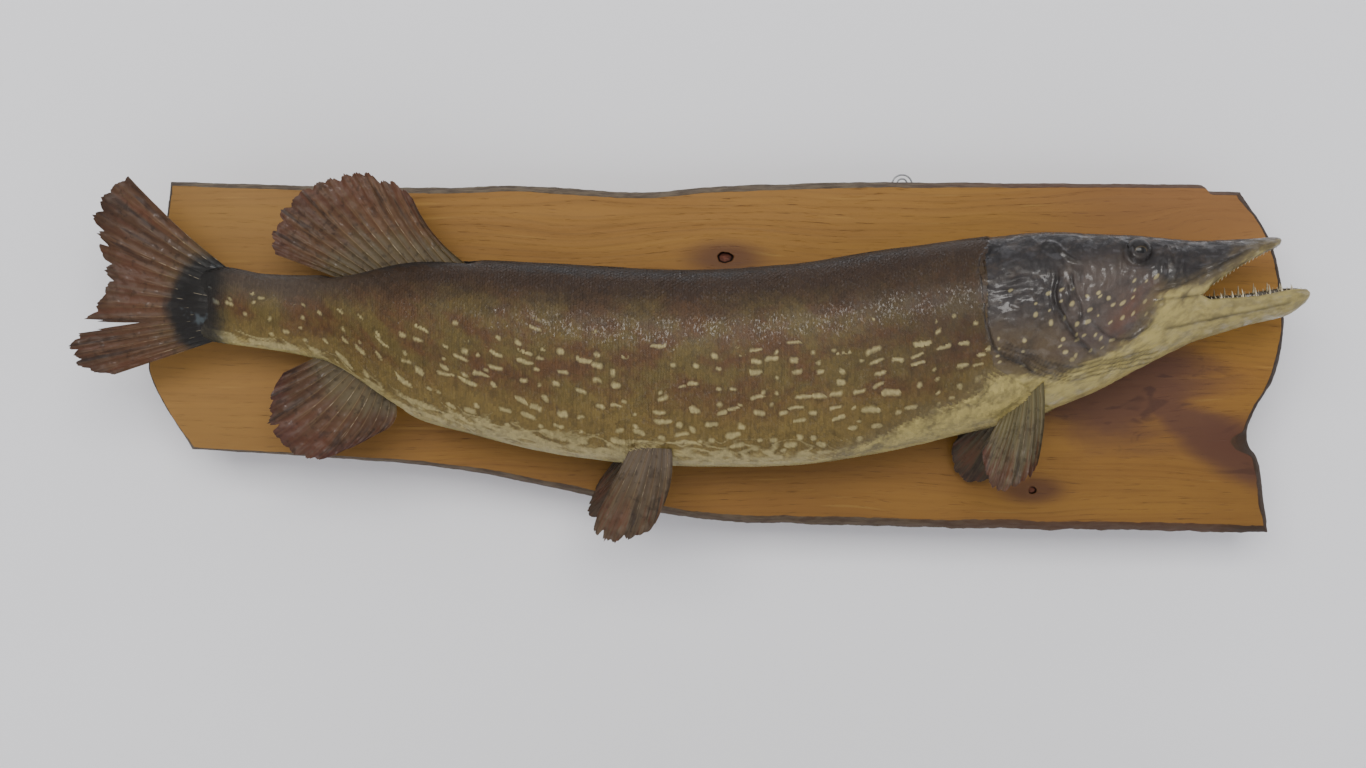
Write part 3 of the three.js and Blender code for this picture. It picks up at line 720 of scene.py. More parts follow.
def jaw_loop(rows, x, tip, sign):
    """The jaw's outline across: 2 quarters outside from lip to lip, then its lining back again."""
    upper = sign > 0
    row = row_at(rows, x)
    corner = row_at(BODY, MOUTH_CORNER)
    corner_z = corner[2] + (corner[1] - corner[2]) * corner[5]
    opening = ease(x, MOUTH_CORNER, MOUTH_CORNER + 11)
    blunt = math.sqrt(max(0.0, 1 - max(0.0, (x - tip + 5) / 5.2) ** 2))
    centre = (row[1] + row[2]) / 2
    row[1:4] = centre + (row[1] - centre) * blunt, centre + (row[2] - centre) * blunt, row[3] * blunt
    top, bottom, half, axis = row[1:5]
    rim = bottom if upper else top
    thin = min(1, half / 12)
    lip = half - LIP / 2 * thin
    outside = np.vstack([[axis - lip, rim], section(row, -32 * sign, 212 * sign, 200), [axis + lip, rim]])
    closed = row.copy()
    closed[1:3] = (top, corner_z) if upper else (corner_z, bottom)
    closed[5:] = 0.0 if upper else 1.0, corner[6], corner[7]
    shut = section(closed, 0, 180 * sign, 200)
    outer = (1 - opening) * spaced(shut, 2 * QUARTER) + opening * spaced(outside, 2 * QUARTER)
    across = np.radians(np.linspace(180, 0, 120))
    inner_half = max(0.5, half - LIP * thin)
    out = np.cos(across) * inner_half
    dip = (PALATE_DEPTH if upper else FLOOR_DEPTH) * ease(x, tip - 5, tip - 26) * rounded(np.sin(across), 3)
    if upper:
        dip = dip - 1.6 * ease(x, tip - 8, tip - 20) * np.exp(-((out / 4) ** 2))
    else:
        dip = dip - TONGUE_HEIGHT * ease(x, tip - 34, tip - 60) * np.exp(-((out / 9) ** 4))
    lining = np.stack([axis - out, rim + sign * dip], 1)
    lining = np.vstack([[axis + lip, rim], lining, [axis - lip, rim]])
    straight = np.stack([np.linspace(axis + half, axis - half, 100), np.full(100, corner_z)], 1)
    inner = ((1 - opening) * spaced(straight, INNER) + opening * spaced(lining, INNER))[1:-1]
    if not upper:
        outer, inner = outer[::-1], inner[::-1]
    loop = np.vstack([outer, inner])
    for _ in range(3):
        loop += 0.5 * opening * ((np.roll(loop, 1, 0) + np.roll(loop, -1, 0)) / 2 - loop)
    xs = np.full(len(loop), float(x))
    share = np.linspace(-1, 1, INNER + 1)[1:-1]
    xs[-(INNER - 1):] -= 20 * (1 - share**2) * math.exp(-(x - MOUTH_CORNER) / 10)
    return np.column_stack([xs, loop])


def curve_distance(points, curve):
    """How far (x, z) points lie from a curve, + below it or in front and - behind, and where along it."""
    fine = curve_at(curve, np.linspace(0, 1, 8 * len(curve) + 1))
    best = np.full(len(points), 1e9)
    side, along = np.zeros(len(points)), np.zeros(len(points))
    for k, (a, b) in enumerate(zip(fine, fine[1:])):
        run = b - a
        t = np.clip((points - a) @ run / (run @ run), 0, 1)
        gap = points - a - t[:, None] * run
        far = np.hypot(gap[:, 0], gap[:, 1])
        closer = far < best
        best[closer] = far[closer]
        side[closer] = np.where(run[0] * gap[closer, 1] - run[1] * gap[closer, 0] > 0, 1, -1)
        along[closer] = (k + t[closer]) / (len(fine) - 1)
    return best * side, along


def hill(value, width):
    return np.exp(-((value / width) ** 2))


def ends(along, soft=0.08):
    return ease(along, 0, soft) * ease(along, 1, 1 - soft)


def head_relief(points, normals):
    """How far the head's skin stands out from the plain form, and the painted shade in its creases, folds,
    eye socket and nostrils.
    """
    flat = points[:, [0, 2]]
    facing = np.clip(np.abs(normals[:, 1]) * 1.6, 0, 1)
    wobble = np.stack([ripple(points, 17, 2), ripple(points + 70, 17, 2)], 1)
    waved = flat + 2.4 * wobble
    lift, crease = np.zeros(len(flat)), np.zeros(len(flat))

    s, t = curve_distance(waved, GILL_MARGIN)
    on = ends(t) * facing
    lift += on * (2.3 * ease(s, -0.7, 0.9) * np.exp(-np.maximum(s, 0) / 26) - 1.5 * hill(s + 1.6, 1.6))
    crease += on * hill(s + 1.1, 1.5)
    s, t = curve_distance(waved, GILL_FOLD)
    on = ends(t, 0.2) * facing
    lift += on * (-2.4 * hill(s, 1.3) + 1.5 * hill(s - 4.0, 2.4) + 1.2 * hill(s + 2.9, 1.5))
    crease += on * hill(s, 1.5)
    for curve, deep, wide in [(CHEEK_FOLD, 1.3, 1.1), (CHEEK_RING, 1.0, 1.2), (NAPE_FOLD, 1.3, 1.8)]:
        s, t = curve_distance(flat + 1.7 * wobble, curve)
        on = ends(t, 0.22) * facing
        lift += on * deep * (-hill(s, wide) + 0.7 * (hill(s - 2.4 * wide, 1.6) + hill(s + 2.4 * wide, 1.6)))
        crease += on * 0.8 * hill(s, 1.2 * wide)
    s, t = curve_distance(waved, THROAT_FOLD)
    on = ends(t) * np.clip(0.35 + facing, 0, 1)
    rays = np.cos(2 * np.pi * s / 3.7) * ease(-s, -7, -2) * ease(-s, 15, 9)
    lift += on * (0.8 * rays - 0.9 * hill(s, 1.2))
    crease += on * (0.55 * hill(s, 1.2) + 0.8 * np.clip(-rays, 0, 1))
    grooves = [(LIP_LINE, 1.2, 1.0), (MAXILLA, 0.8, 1.1), (SNOUT_GROOVE, 0.7, 0.9), (JAW_GROOVE, 0.6, 1.3)]
    for curve, depth, width in grooves:
        s, t = curve_distance(flat + 0.6 * wobble, curve)
        on = ends(t, 0.12) * facing
        lift += on * depth * (-hill(s, width) + 0.45 * hill(np.abs(s) - 2.6, 1.5))
        crease += on * 0.7 * hill(s, width)
    s, t = curve_distance(flat, BROW)
    lift += ends(t, 0.2) * 1.6 * hill(s, 3.0) * np.clip(0.3 + facing, 0, 1)

    x, z, _, _ = EYE
    r = np.hypot(flat[:, 0] - x, flat[:, 1] - z)
    lid = 1 + 0.12 * np.sin(2 * np.arctan2(flat[:, 1] - z, flat[:, 0] - x) + 0.6)
    rim = hill(r - 11.2 * lid, 2.2) - 0.6 * hill(r - 15.2, 1.9)
    lift += facing * (rim - 3.2 * ease(r, 9.4 * lid, 6.5))
    crease += facing * (hill(r - 8.8, 2.0) + 0.45 * hill(r, 15))
    for x, z in NOSTRILS:
        r = np.hypot(flat[:, 0] - x, (flat[:, 1] - z) * 1.3)
        lift += facing * (-1.5 * hill(r, 1.5) + 0.5 * hill(r - 2.6, 0.8))
        crease += facing * hill(r, 1.5)
    for x, z in np.linspace(*JAW_PORES, 9):
        lift -= facing * 0.5 * hill(np.hypot(flat[:, 0] - x, flat[:, 1] - z), 0.9)

    across = ripple(np.column_stack([waved[:, 0] / 11, points[:, 1] / 8, waved[:, 1] / 3.6]), 1, 3)
    upright = ripple(np.column_stack([waved[:, 0] / 4.2, points[:, 1] / 8, waved[:, 1] / 13]), 1, 3)
    turning = ease(flat[:, 0] + 0.5 * flat[:, 1], 268, 288)
    wrinkles = 1.7 * (across * (1 - turning) + upright * turning)
    folds = 0
    for x, z, wide, high, much in WRINKLED:
        folds = folds + much * hill(flat[:, 0] - x, wide) * hill(flat[:, 1] - z, high)
    folds = facing * np.clip(folds, 0, 1)
    fine = ripple(points, 6, 3)
    lift += folds * wrinkles + 0.35 * fine + 0.16 * ripple(points, 2.1, 2)
    crease += folds * np.clip(-wrinkles, 0, 1) + 0.3 * np.clip(-fine, 0, 1)
    return lift, np.clip(crease, 0, 1)


class Sheet:
    """Faces gathered from tables of point numbers, with a flat place for each face's corner."""

    def __init__(self):
        self.faces, self.corners = [], []

    def add_grid(self, table, uv):
        for k in range(table.shape[0] - 1):
            for j in range(table.shape[1] - 1):
                for r, c in ((k, j), (k, j + 1), (k + 1, j + 1), (k + 1, j)):
                    self.corners.append(uv[r, c])
                self.faces.append((table[k, j], table[k, j + 1], table[k + 1, j + 1], table[k + 1, j]))

    def add_fan(self, ring, tip, u):
        """Closes a ring of points to one at its tip."""
        for a, b in zip(ring, np.roll(ring, -1)):
            self.faces.append((a, b, tip))
            self.corners += [(u, 0.4), (u + 0.001, 0.4), (u + 0.0005, 0.401)]


def unwrap(x, share):
    """A flat place for each point of the skin: along the fish, and round it from belly to belly."""
    along = np.interp(x, [-424, 200, 380, 471], [0.01, 0.5, 0.85, 0.99])
    return np.stack(np.broadcast_arrays(along, 0.01 + 0.82 * np.asarray(share, float)), -1)


def make_skin():
    """The skin's rings, points and faces, each point's share round the girth, and which lie inside."""
    xs, body = body_rings()
    table = np.arange(len(xs) * 4 * QUARTER).reshape(len(xs), -1)
    share = np.linspace(0, 1, 4 * QUARTER + 1)
    sheet = Sheet()
    sheet.add_grid(np.hstack([table, table[:, :1]]), unwrap(xs[:, None], share[None]))
    points, shares, lining = [body.reshape(-1, 3)], [np.tile(share[:-1], len(xs))], [np.zeros(table.size)]
    flat_line = None
    outer_count = 2 * QUARTER + 1
    girth = np.concatenate([share[:-1], share])
    jaws = ((UPPER_JAW, UPPER_TIP, 1, QUARTER), (LOWER_JAW, LOWER_TIP, -1, 3 * QUARTER))
    for rows, tip, sign, first in jaws:
        stations = np.arange(MOUTH_CORNER, tip - 5, 1.25)
        stations = np.append(stations, tip - 5 * (1 - np.sin(np.linspace(0, np.pi / 2, 9))))
        loops = np.array([jaw_loop(rows, x, tip, sign) for x in stations])
        held = sum(len(p) for p in points)
        numbers = held + np.arange(loops.shape[0] * loops.shape[1]).reshape(loops.shape[:2])
        numbers[0, :outer_count] = np.append(table[-1], table[-1])[first:first + outer_count]
        if sign < 0:
            numbers[0, outer_count:] = flat_line[::-1]
        flat_line = numbers[0, outer_count:]
        outer_share = girth[first:first + outer_count]
        outer = numbers[:, :outer_count]
        inner = np.hstack([outer[:, -1:], numbers[:, outer_count:], outer[:, :1]])
        if sign > 0:
            sheet.add_grid(outer, unwrap(stations[:, None], outer_share[None]))
        else:
            ahead, behind = share[3 * QUARTER:], share[:QUARTER + 1]
            sheet.add_grid(outer[:, :QUARTER + 1], unwrap(stations[:, None], ahead[None]))
            sheet.add_grid(outer[:, QUARTER:], unwrap(stations[:, None], behind[None]))
        inner_v = np.linspace(0, 0.06, INNER + 1) + (0.85 if sign > 0 else 0.93)
        inner_uv = np.stack(np.broadcast_arrays(unwrap(stations, 0)[:, :1], inner_v[None]), -1)
        sheet.add_grid(inner, inner_uv)
        sheet.add_fan(numbers[-1], held + numbers.size, 0.985)
        points += [loops.reshape(-1, 3), loops[-1].mean(0)[None] + [0.2, 0, 0]]
        inside = np.arange(loops.shape[1]) >= outer_count
        loop_share = np.append(outer_share, np.full(INNER - 1, 0.25))
        shares.append(np.append(np.tile(loop_share, len(stations)), 0.25))
        lining.append(np.append(np.tile(inside, len(stations)), 0))
    sheet.add_fan(table[0][::-1], sum(len(p) for p in points), 0.005)
    points.append(body[0].mean(0)[None] + [-0.5, 0, 0])
    inside = np.append(np.concatenate(lining), 0) > 0
    return xs, table, np.vstack(points), sheet, np.append(np.concatenate(shares), 0.25), inside


PALE_EDGE = [(100, -72), (126, -58), (146, -47), (175, -35), (192, -28), (203, -21), (208, -11)]
PALE_EDGE += [(232, -8), (267, -8), (283, -2), (300, 6), (315, 12), (330, 24), (337, 39), (341, 49)]
PALE_EDGE += [(347, 55), (366, 60), (386, 67), (406, 79), (424, 89), (446, 97)]
FIN_FEET = [  # flesh at the fins' roots: from, to, height, y and how far it reaches
    ((-200, 77), (-308, 64), 4.5, -77, 11), ((-256, -36), (-314, 6), 4.0, -77, 11),
    ((252, -12), (228, -38), 3.2, -112, 18), ((-38, -66), (-66, -64), 2.6, -106, 14),
]


def set_uv(piece, corners):
    layer = piece.data.uv_layers.new(name="OFBake")
    layer.uv.foreach_set("vector", np.asarray(corners, dtype=np.float32).ravel())


def head_edge(belt):
    """Where the scales end and the bare head begins, from the belt: 0 at the belly and 1 at the back."""
    return np.interp(belt, *np.transpose(HEAD_EDGE))


def head_paint(x, belt):
    """How far the head's paint has taken over from the flank's, which runs on below the gill cover."""
    return ease(x - head_edge(belt), -7, 5)


def pale_values(points):
    """Metres below the edge of the pale throat and jaws."""
    far, _ = curve_distance(points[:, [0, 2]], PALE_EDGE)
    return np.clip(-far * MM, -0.04, 0.04)


def body_relief(points):
    """Dents of the dried mount, and the flesh at the foot of the upright fins."""
    lift = 0.7 * ripple(points, 60, 2) + 0.22 * ripple(points, 16, 2)
    flat = points[:, [0, 2]]
    for start, end, height, depth, spread in FIN_FEET:
        a, b = np.array(start, float), np.array(end, float)
        t = np.clip((flat - a) @ (b - a) / ((b - a) @ (b - a)), 0, 1)
        far = np.linalg.norm(flat - a - t[:, None] * (b - a), axis=1)
        lift += height * hill(far, 7) * hill(points[:, 1] - depth, spread)
    return lift


def finish_skin():
    """The skin's piece, and its rings' x, points and normals, on which the scales stand."""
    xs, table, points, sheet, share, inside = make_skin()
    skin = new_piece("pike_skin", points, sheet.faces)
    set_uv(skin, sheet.corners)
    normals = vectors_of(skin, "normals")
    belt = np.where(inside, 0.5, 2 * np.minimum(share, 1 - share))
    x = points[:, 0]
    lift, crease = np.zeros(len(points)), np.zeros(len(points))
    front = ~inside & (x > 188)
    in_front = ease(x[front], 190, 206)
    lift[front], crease[front] = (relief * in_front for relief in head_relief(points[front], normals[front]))
    rear = ~inside & (x <= 300)
    lift[rear] += body_relief(points[rear]) * ease(x[rear], 300, 240)
    lift[inside] = 0.4 * ripple(points[inside], 5, 3)
    scaled = ease(head_edge(belt) - x, -1, 4) * ~inside
    lift = (lift - COAT_DEPTH * scaled) * ease(x, -424, -405)
    moved = points + normals * lift[:, None]
    moved[:, 1] = np.minimum(moved[:, 1], -BOARD_THICKNESS - 0.35)
    skin.data.vertices.foreach_set("co", (moved * MM).ravel())
    skin.data.update()

    girths = [run_of(np.vstack([ring, ring[:1]]))[-1] for ring in points[table]]
    signed = np.where(share > 0.5, share - 1, share) * np.interp(x, xs, girths)
    lie = np.column_stack([x * MM, signed * MM, belt])
    head = np.where(inside, 1, head_paint(x, belt))
    add_values(skin, lie=lie, head=head, crease=crease, lining=inside, pale=pale_values(points))
    with opened(skin) as form:
        bmesh.ops.delete(form, geom=[v for v in form.verts if not v.link_faces], context="VERTS")
        if form.calc_volume(signed=True) < 0:
            bmesh.ops.reverse_faces(form, faces=form.faces)
    return skin, xs, moved[table], normals[table]


pike_skin, skin_xs, skin_grid, skin_normals = finish_skin()

PIKE = {"crown": "#1d1b1b", "back": "#2b2725", "upper": "#302216", "rust": "#4e351d", "olive": "#564824"}
PIKE |= {"low": "#66552c", "belly": "#a1915c", "spot": "#a09467", "cream": "#988a54", "shade": "#271c11"}
PIKE |= {"head": "#262221", "cheek": "#473d37", "gill": "#302b2a", "gill low": "#4a3d2b", "crease": "#14100e"}
PIKE |= {"tail": "#1d1c1b", "blue": "#525b5f", "red": "#553628", "lining": "#4b4030", "front": "#2b1d10"}
PIKE |= {"rear": "#4a4036", "cover": "#655738", "tan": "#4f4236", "pale edge": "#594d33", "throat": "#7d7147"}
PIKE |= {"vein": "#4c4230", "mouth": "#2a241b", "gullet": "#15110d"}


def dash_group():
    """Cream marks: capsules of uneven length laid in staggered rows. Sizes are millimetres."""
    inputs = {"Vector": ["Flat"], "Float": ["Cell X", "Cell Y", "Length", "Radius", "Chance", "Seed"]}
    given, result = new_group("cream dashes", inputs, {"Float": ["Edge"]})
    x, y, _ = split(given["Flat"])
    cell_x = x / MM / given["Cell X"] + given["Seed"]
    cell_y = y / MM / given["Cell Y"] + given["Seed"]
    inputs = {"Vector": join(cell_x, cell_y, 0.0), "Scale": 1.0, "Randomness": 0.9}
    spot = place("ShaderNodeTexVoronoi", inputs, voronoi_dimensions="2D")
    centre_x, centre_y, _ = split(spot["Position"])
    chance, length, slope = split(spot["Color"])
    dx = (cell_x - centre_x) * given["Cell X"]
    dy = dx * ((slope - 0.5) * 0.35) + (cell_y - centre_y) * given["Cell Y"]
    over = calc("MAXIMUM", abs(dx) - length**2.0 * given["Length"], 0.0)
    radius = given["Radius"] * fade(slope, 0.0, 1.0, 0.7, 1.15)
    shown = calc("GREATER_THAN", given["Chance"], chance)
    feed(result, Edge=(shown - 1.0) * 30.0 + (radius - length_of(over, dy)))


def toned(colour, tone):
    return place("ShaderNodeVectorMath", {0: colour, "Scale": tone}, operation="SCALE")


def markings_group():
    """The pike's colours, from where a point lies: x along the fish, the way round, and the belt."""
    inputs = {"Vector": ["Lie"], "Float": ["Head", "Pale", "Tone"]}
    given, result = new_group("pike markings", inputs, {"Color": ["Color"]})
    x, around, belt = split(given["Lie"])
    flat = join(x, around, 0.0)
    broad = speckle(flat, (13, 20, 1), 3.0, 0.55) - 0.5
    clouds = speckle(flat, (26, 34, 1), 4.0, 0.65, shift=(4, 9, 0))
    mottled = speckle(flat, (75, 105, 1), 3.0, 0.65)
    uneven = mottled - 0.5
    streaks = speckle(flat, (330, 60, 1), 2.0, 0.6)
    level = uneven * 0.14 + (broad * 0.2 + belt)
    back = coats(PIKE["back"], (fade(level, 0.93, 0.86), PIKE["upper"]))
    colour = coats(
        back,
        (fade(level, 0.84, 0.6), blend(fade(clouds, 0.38, 0.62), PIKE["rust"], PIKE["olive"])),
        (fade(level, 0.46, 0.22), PIKE["low"]),
        (fade(level, 0.2, 0.06), PIKE["belly"]),
        (fade(streaks, 0.5, 0.75, 0.0, 0.3), PIKE["shade"]),
        (fade(mottled, 0.5, 0.75, 0.0, 0.3), PIKE["shade"]),
        (fade(x, 0.06, 0.2) * fade(level, 0.36, 0.6, 0.2, 0.65), PIKE["front"]),
        (fade(x, -0.24, -0.33) * fade(level, 0.5, 0.8) * 0.55, PIKE["rear"]),
    )

    # Cream dashes and dots on the flank, larger and run together towards the belly.
    sway = speckle(flat, (30, 30, 1), 3.0, shift=(7, 3, 0)) - 0.5
    bent = join(x, sway * 0.016 + around, 0.0)
    low = fade(belt, 0.4, 0.12)
    high = belt - fade(x, -0.28, -0.37, 0.0, 0.14)
    dash = use_group("cream dashes", {
        "Flat": bent, "Cell X": 15.5, "Cell Y": 10.0, "Seed": 0.3,
        "Chance": low * 0.2 + fade(high, 0.68, 0.5, 0.0, 0.74),
        "Length": (low * 1.5 + 5.8) * fade(x, -0.24, -0.36, 1.0, 0.3),
        "Radius": (low * 0.8 + 1.5) * fade(x, -0.24, -0.36, 1.0, 0.8),
    })
    worms = abs(speckle(bent, (44, 92, 1), 1.0, 0.4) - 0.5)
    wormy = fade(belt, 0.33, 0.13, 0.0, 4.0) * fade(x, 0.13, 0.05)
    edge = calc("MAXIMUM", uneven * 2.6 + dash, worms * -22.0 + (wormy - 2.2))
    spots = fade(edge, -1.3, 1.2) * fade(high, 0.72, 0.6)
    under = mottled * 0.16 + belt - fade(x, 0.02, 0.2, 0.0, 0.14)
    colour = coats(
        colour,
        (fade(edge, -2.6, -0.6) * 0.2, PIKE["shade"]),
        (spots * 0.7, PIKE["spot"]),
        (fade(under, 0.165, 0.13) * 0.92, PIKE["cream"]),
    )

    # The head: dark crown and snout, purple-grey cheek, brown-black gill cover.
    fleck = use_group("cream dashes", {
        "Flat": bent, "Cell X": 9.5, "Cell Y": 8.5, "Length": 0.8, "Radius": 1.35, "Seed": 3.1,
        "Chance": fade(belt, 0.7, 0.58) * fade(x, 0.25, 0.275, 0.4, 1.0) * fade(x, 0.352, 0.33, 0.0, 0.74),
    })
    blush = fade(x, 0.295, 0.315) * fade(abs(belt - 0.5), 0.2, 0.05)
    head = coats(
        blend(fade(level, 0.62, 0.44), PIKE["gill"], PIKE["gill low"]),
        (fade(mottled * 0.02 + x, 0.262, 0.298), PIKE["cheek"]),
        (fade(level, 0.36, 0.2, 0.0, 0.7) * fade(x, 0.31, 0.28), PIKE["cover"]),
        (blush * fade(clouds, 0.4, 0.6, 0.1, 0.7), PIKE["red"]),
        (fade((belt - 0.95) * 0.11 + x, 0.298, 0.312), PIKE["head"]),
        (fade(level, 0.64, 0.84), PIKE["crown"]),
        (fade(clouds, 0.5, 0.3, 0.0, 0.5), PIKE["crown"]),
        (fade(mottled, 0.45, 0.7, 0.0, 0.3), PIKE["tan"]),
        (fade(uneven * 2.2 + fleck, -0.8, 0.8, 0.0, 0.7), PIKE["spot"]),
    )

    # The pale throat and jaws, and the tail's nearly black foot with patches of painted bluish sheen.
    border = (clouds - 0.5) * 0.018 + (uneven * 0.014 + given["Pale"])
    vein = fade(abs(sway), 0.05, 0.0) * fade(border, 0.016, 0.004)
    throat = coats(
        blend(fade(mottled, 0.35, 0.6), PIKE["throat"], PIKE["cream"]),
        (fade(x, 0.33, 0.4, 0.0, 0.22), PIKE["vein"]),
        (vein * 0.55, PIKE["vein"]),
    )
    foot = blend(fade(mottled * 2.4 + dash * 0.5, 0.9, 2.2) * 0.5, PIKE["tail"], PIKE["blue"])
    colour = coats(
        colour,
        (fade(uneven * 1.4 + given["Head"], 0.25, 0.75), head),
        (fade(border, -0.014, -0.001, 0.0, 0.75), PIKE["pale edge"]),
        (fade(border, -0.0035, 0.0045), throat),
        (fade(mottled * 0.016 + x, -0.373, -0.395) * 0.94, foot),
    )
    feed(result, Color=toned(colour, given["Tone"] * 0.5 + 0.75))


def skin_material():
    varnish = {"Coat_Weight": 0.25, "Coat_Roughness": 0.12, "Specular_IOR_Level": 0.25}
    made, shader = new_material("varnished_skin", **varnish)
    position = position_in(made)
    places = {"Lie": attribute(made, "lie", "Vector"), "Head": attribute(made, "head")}
    places |= {"Pale": attribute(made, "pale"), "Tone": 0.5}
    # The mouth's lining turns near-black towards the back of the mouth: painted shade.
    mouth = coats(
        blend(speckle(position, 160, 3.0), PIKE["mouth"], PIKE["lining"]),
        (fade(split(position)[0], 0.398, 0.372), PIKE["gullet"]),
    )
    # Painted shade darkens the head's creases, folds, eye socket and nostrils.
    colour = coats(
        use_group("pike markings", places),
        (attribute(made, "crease") * 0.75, PIKE["crease"]),
        (attribute(made, "lining"), mouth),
    )
    drips = speckle(position, (240, 240, 130), 3.0, 0.6)
    relief = drips + speckle(position, 900, 2.0, 0.6) * 0.25
    varnish = fade(speckle(position, (95, 95, 150), 3.0, 0.6), 0.48, 0.62, 0.03, 0.6)
    rough = fade(drips, 0.3, 0.75, 0.36, 0.6)
    feed(shader, Base_Color=colour, Roughness=rough, Coat_Weight=varnish, Normal=bump(relief, 0.0007, 0.7))
    return made


dash_group()
markings_group()
pike_skin.data.materials.append(skin_material())
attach(pike_skin, "root")
for flesh in ("tail_stalk", "trunk_rear", "trunk_middle", "trunk_front", "head", "upper_jaw",
              "lower_jaw", "gill_cover_right", "gill_cover_left"):
    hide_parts(flesh)

# ---------------------------------------------------------------------------------------------
# Scales: thin rounded plates in slanting rows from the gill cover to the tail, each one rooted
# under the one ahead and lifting a little at its free edge. They shrink towards the tail. Paint
# and varnish cover them together with the skin.

# From, to, rows round the body and their spacing. A band ends after an even number of half steps.
SCALE_BANDS = [(-412, -306, 52, 3.5), (-306, -180, 76, 4.2), (-180, -76.6, 100, 4.7)]
SCALE_BANDS += [(-76.6, 26.8, 100, 4.7), (26.8, 149, 100, 4.7), (149, 272, 100, 4.7)]
SCALE_OVERLAP, SCALE_SPREAD = 1.7, 1.36  # length and width as shares of the spacing
SCALE_DOME, SCALE_SINK, SCALE_LIFT = 0.34, -0.45, 0.86  # millimetres from the skin below
SCALE_PATCH = 0.0026  # size on the unwrap
FIRST_SEED = 40


def scale_form():
    """One scale: [towards the tail, across, height of the dome], its top faces and its base."""
    points = [(-0.5, b * 0.3, 0.1) for b in (-1, 0, 1)]
    for a, width, dome in ((-0.22, 0.5, 0.7), (0.12, 0.5, 1.0), (0.36, 0.36, 0.75)):
        points += [(a, b * width, dome * (1 - b * b)) for b in (-1, -0.5, 0, 0.5, 1)]
    points.append((0.5, 0, 0.0))
    faces = [(0, 1, 4), (0, 4, 3), (1, 5, 4), (1, 6, 5), (1, 2, 6), (2, 7, 6)]
    for low in (3, 8):
        faces += [(low + k, low + k + 1, low + k + 6, low + k + 5) for k in range(4)]
    faces += [(13 + k, 14 + k, 18) for k in range(4)]
    return np.array(points), faces, (0, 3, 8, 13, 18, 17, 12, 7, 2, 1)


def skin_at(x, share):
    """Points and normals of the finished skin, between its columns and rings."""
    columns = skin_grid.shape[1]
    i = np.clip(np.searchsorted(skin_xs, x) - 1, 0, len(skin_xs) - 2)
    wi = np.clip((x - skin_xs[i]) / (skin_xs[i + 1] - skin_xs[i]), 0, 1)[:, None]
    c = (share % 1) * columns
    j = c.astype(int) % columns
    wj = (c - np.floor(c))[:, None]
    k = (j + 1) % columns
    mixed = []
    for grid in (skin_grid, skin_normals):
        low, high = grid[i, j] * (1 - wj) + grid[i, k] * wj, grid[i + 1, j] * (1 - wj) + grid[i + 1, k] * wj
        mixed.append(low * (1 - wi) + high * wi)
    return mixed[0], unit(mixed[1])


def scale_places(start, end, rows, step):
    """Where scales root: x and share of the girth, off the head and clear of the board."""
    xs = np.arange(start, end, step / 2)
    places = np.vstack([np.insert((np.arange(rows)[:, None] + 0.5 * (k % 2)) / rows, 0, x, 1)
                        for k, x in enumerate(xs)])
    x, share = places.T
    point, _ = skin_at(x, share)
    on_flank = x < head_edge(2 * np.minimum(share, 1 - share)) - 1
    return places[on_flank & (point[:, 1] < -BOARD_THICKNESS - 1.3)]


def make_scales(name, start, end, rows, step, seed):
    rng = np.random.default_rng(seed)
    x, share = scale_places(start, end, rows, step).T
    point, normal = skin_at(x, share)
    (ahead, _), (behind, _) = skin_at(x + 1.5, share), skin_at(x - 1.5, share)
    (left, _), (right, _) = skin_at(x, share - 0.004), skin_at(x, share + 0.004)
    tailward = behind - ahead
    tailward = unit(tailward - (tailward * normal).sum(1)[:, None] * normal)
    across = np.cross(normal, tailward)
    width = np.linalg.norm(right - left, axis=1) / 0.008 / rows
    turn = rng.normal(0, 0.06, len(x))[:, None]
    tailward, across = tailward + across * turn, across - tailward * turn
    form, tops, base = scale_form()
    back, aside, dome = form.T[:, None]
    size = rng.normal(1, 0.05, len(x))[:, None]
    a = back * step * SCALE_OVERLAP * size
    b = aside * width[:, None] * SCALE_SPREAD * size
    tilt, roll = rng.normal(0, 0.13, (2, len(x), 1))
    h = SCALE_SINK + (SCALE_LIFT - SCALE_SINK + tilt + roll * aside) * (back + 0.5) + dome * SCALE_DOME
    h = h * np.clip(step / SCALE_BANDS[-1][3], 0.7, 1)
    points = point[:, None] + a[..., None] * tailward[:, None] + b[..., None] * across[:, None]
    points = points + h[..., None] * normal[:, None]
    points[..., 1] = np.minimum(points[..., 1], -BOARD_THICKNESS - 0.3)
    starts = np.arange(len(x)) * len(form)
    faces = [[v + first for v in face] for same in (tops, [base]) for first in starts for face in same]
    piece = new_piece(name, points.reshape(-1, 3), faces)
    piece.data.polygons.foreach_set("use_smooth", np.arange(len(faces)) < len(tops) * len(x))
    which, part = np.divmod([v for face in faces for v in face], len(form))
    set_uv(piece, unwrap(x, share)[which] + SCALE_PATCH * form[part][:, :2])
    belt = 2 * np.minimum(share, 1 - share)
    signed = np.where(share > 0.5, share - 1, share) * width * rows
    turned = np.sign((across * (right - left)).sum(1))[:, None]
    level = np.broadcast_to(belt[:, None], a.shape)
    lie = np.stack([x[:, None] - a, signed[:, None] + b * turned, level], -1)
    pale, head = (np.repeat(values, len(form)) for values in (pale_values(point), head_paint(x, belt)))
    # Each scale has its own random tone and is a little lighter towards its lifted free edge: a painted
    # highlight.
    tone = np.clip(rng.uniform(0.2, 0.8, len(x))[:, None] + 0.25 * back, 0, 1)
    add_values(piece, lie=(lie * [MM, MM, 1]).reshape(-1, 3), pale=pale, head=head, tone=tone.ravel())
    return piece


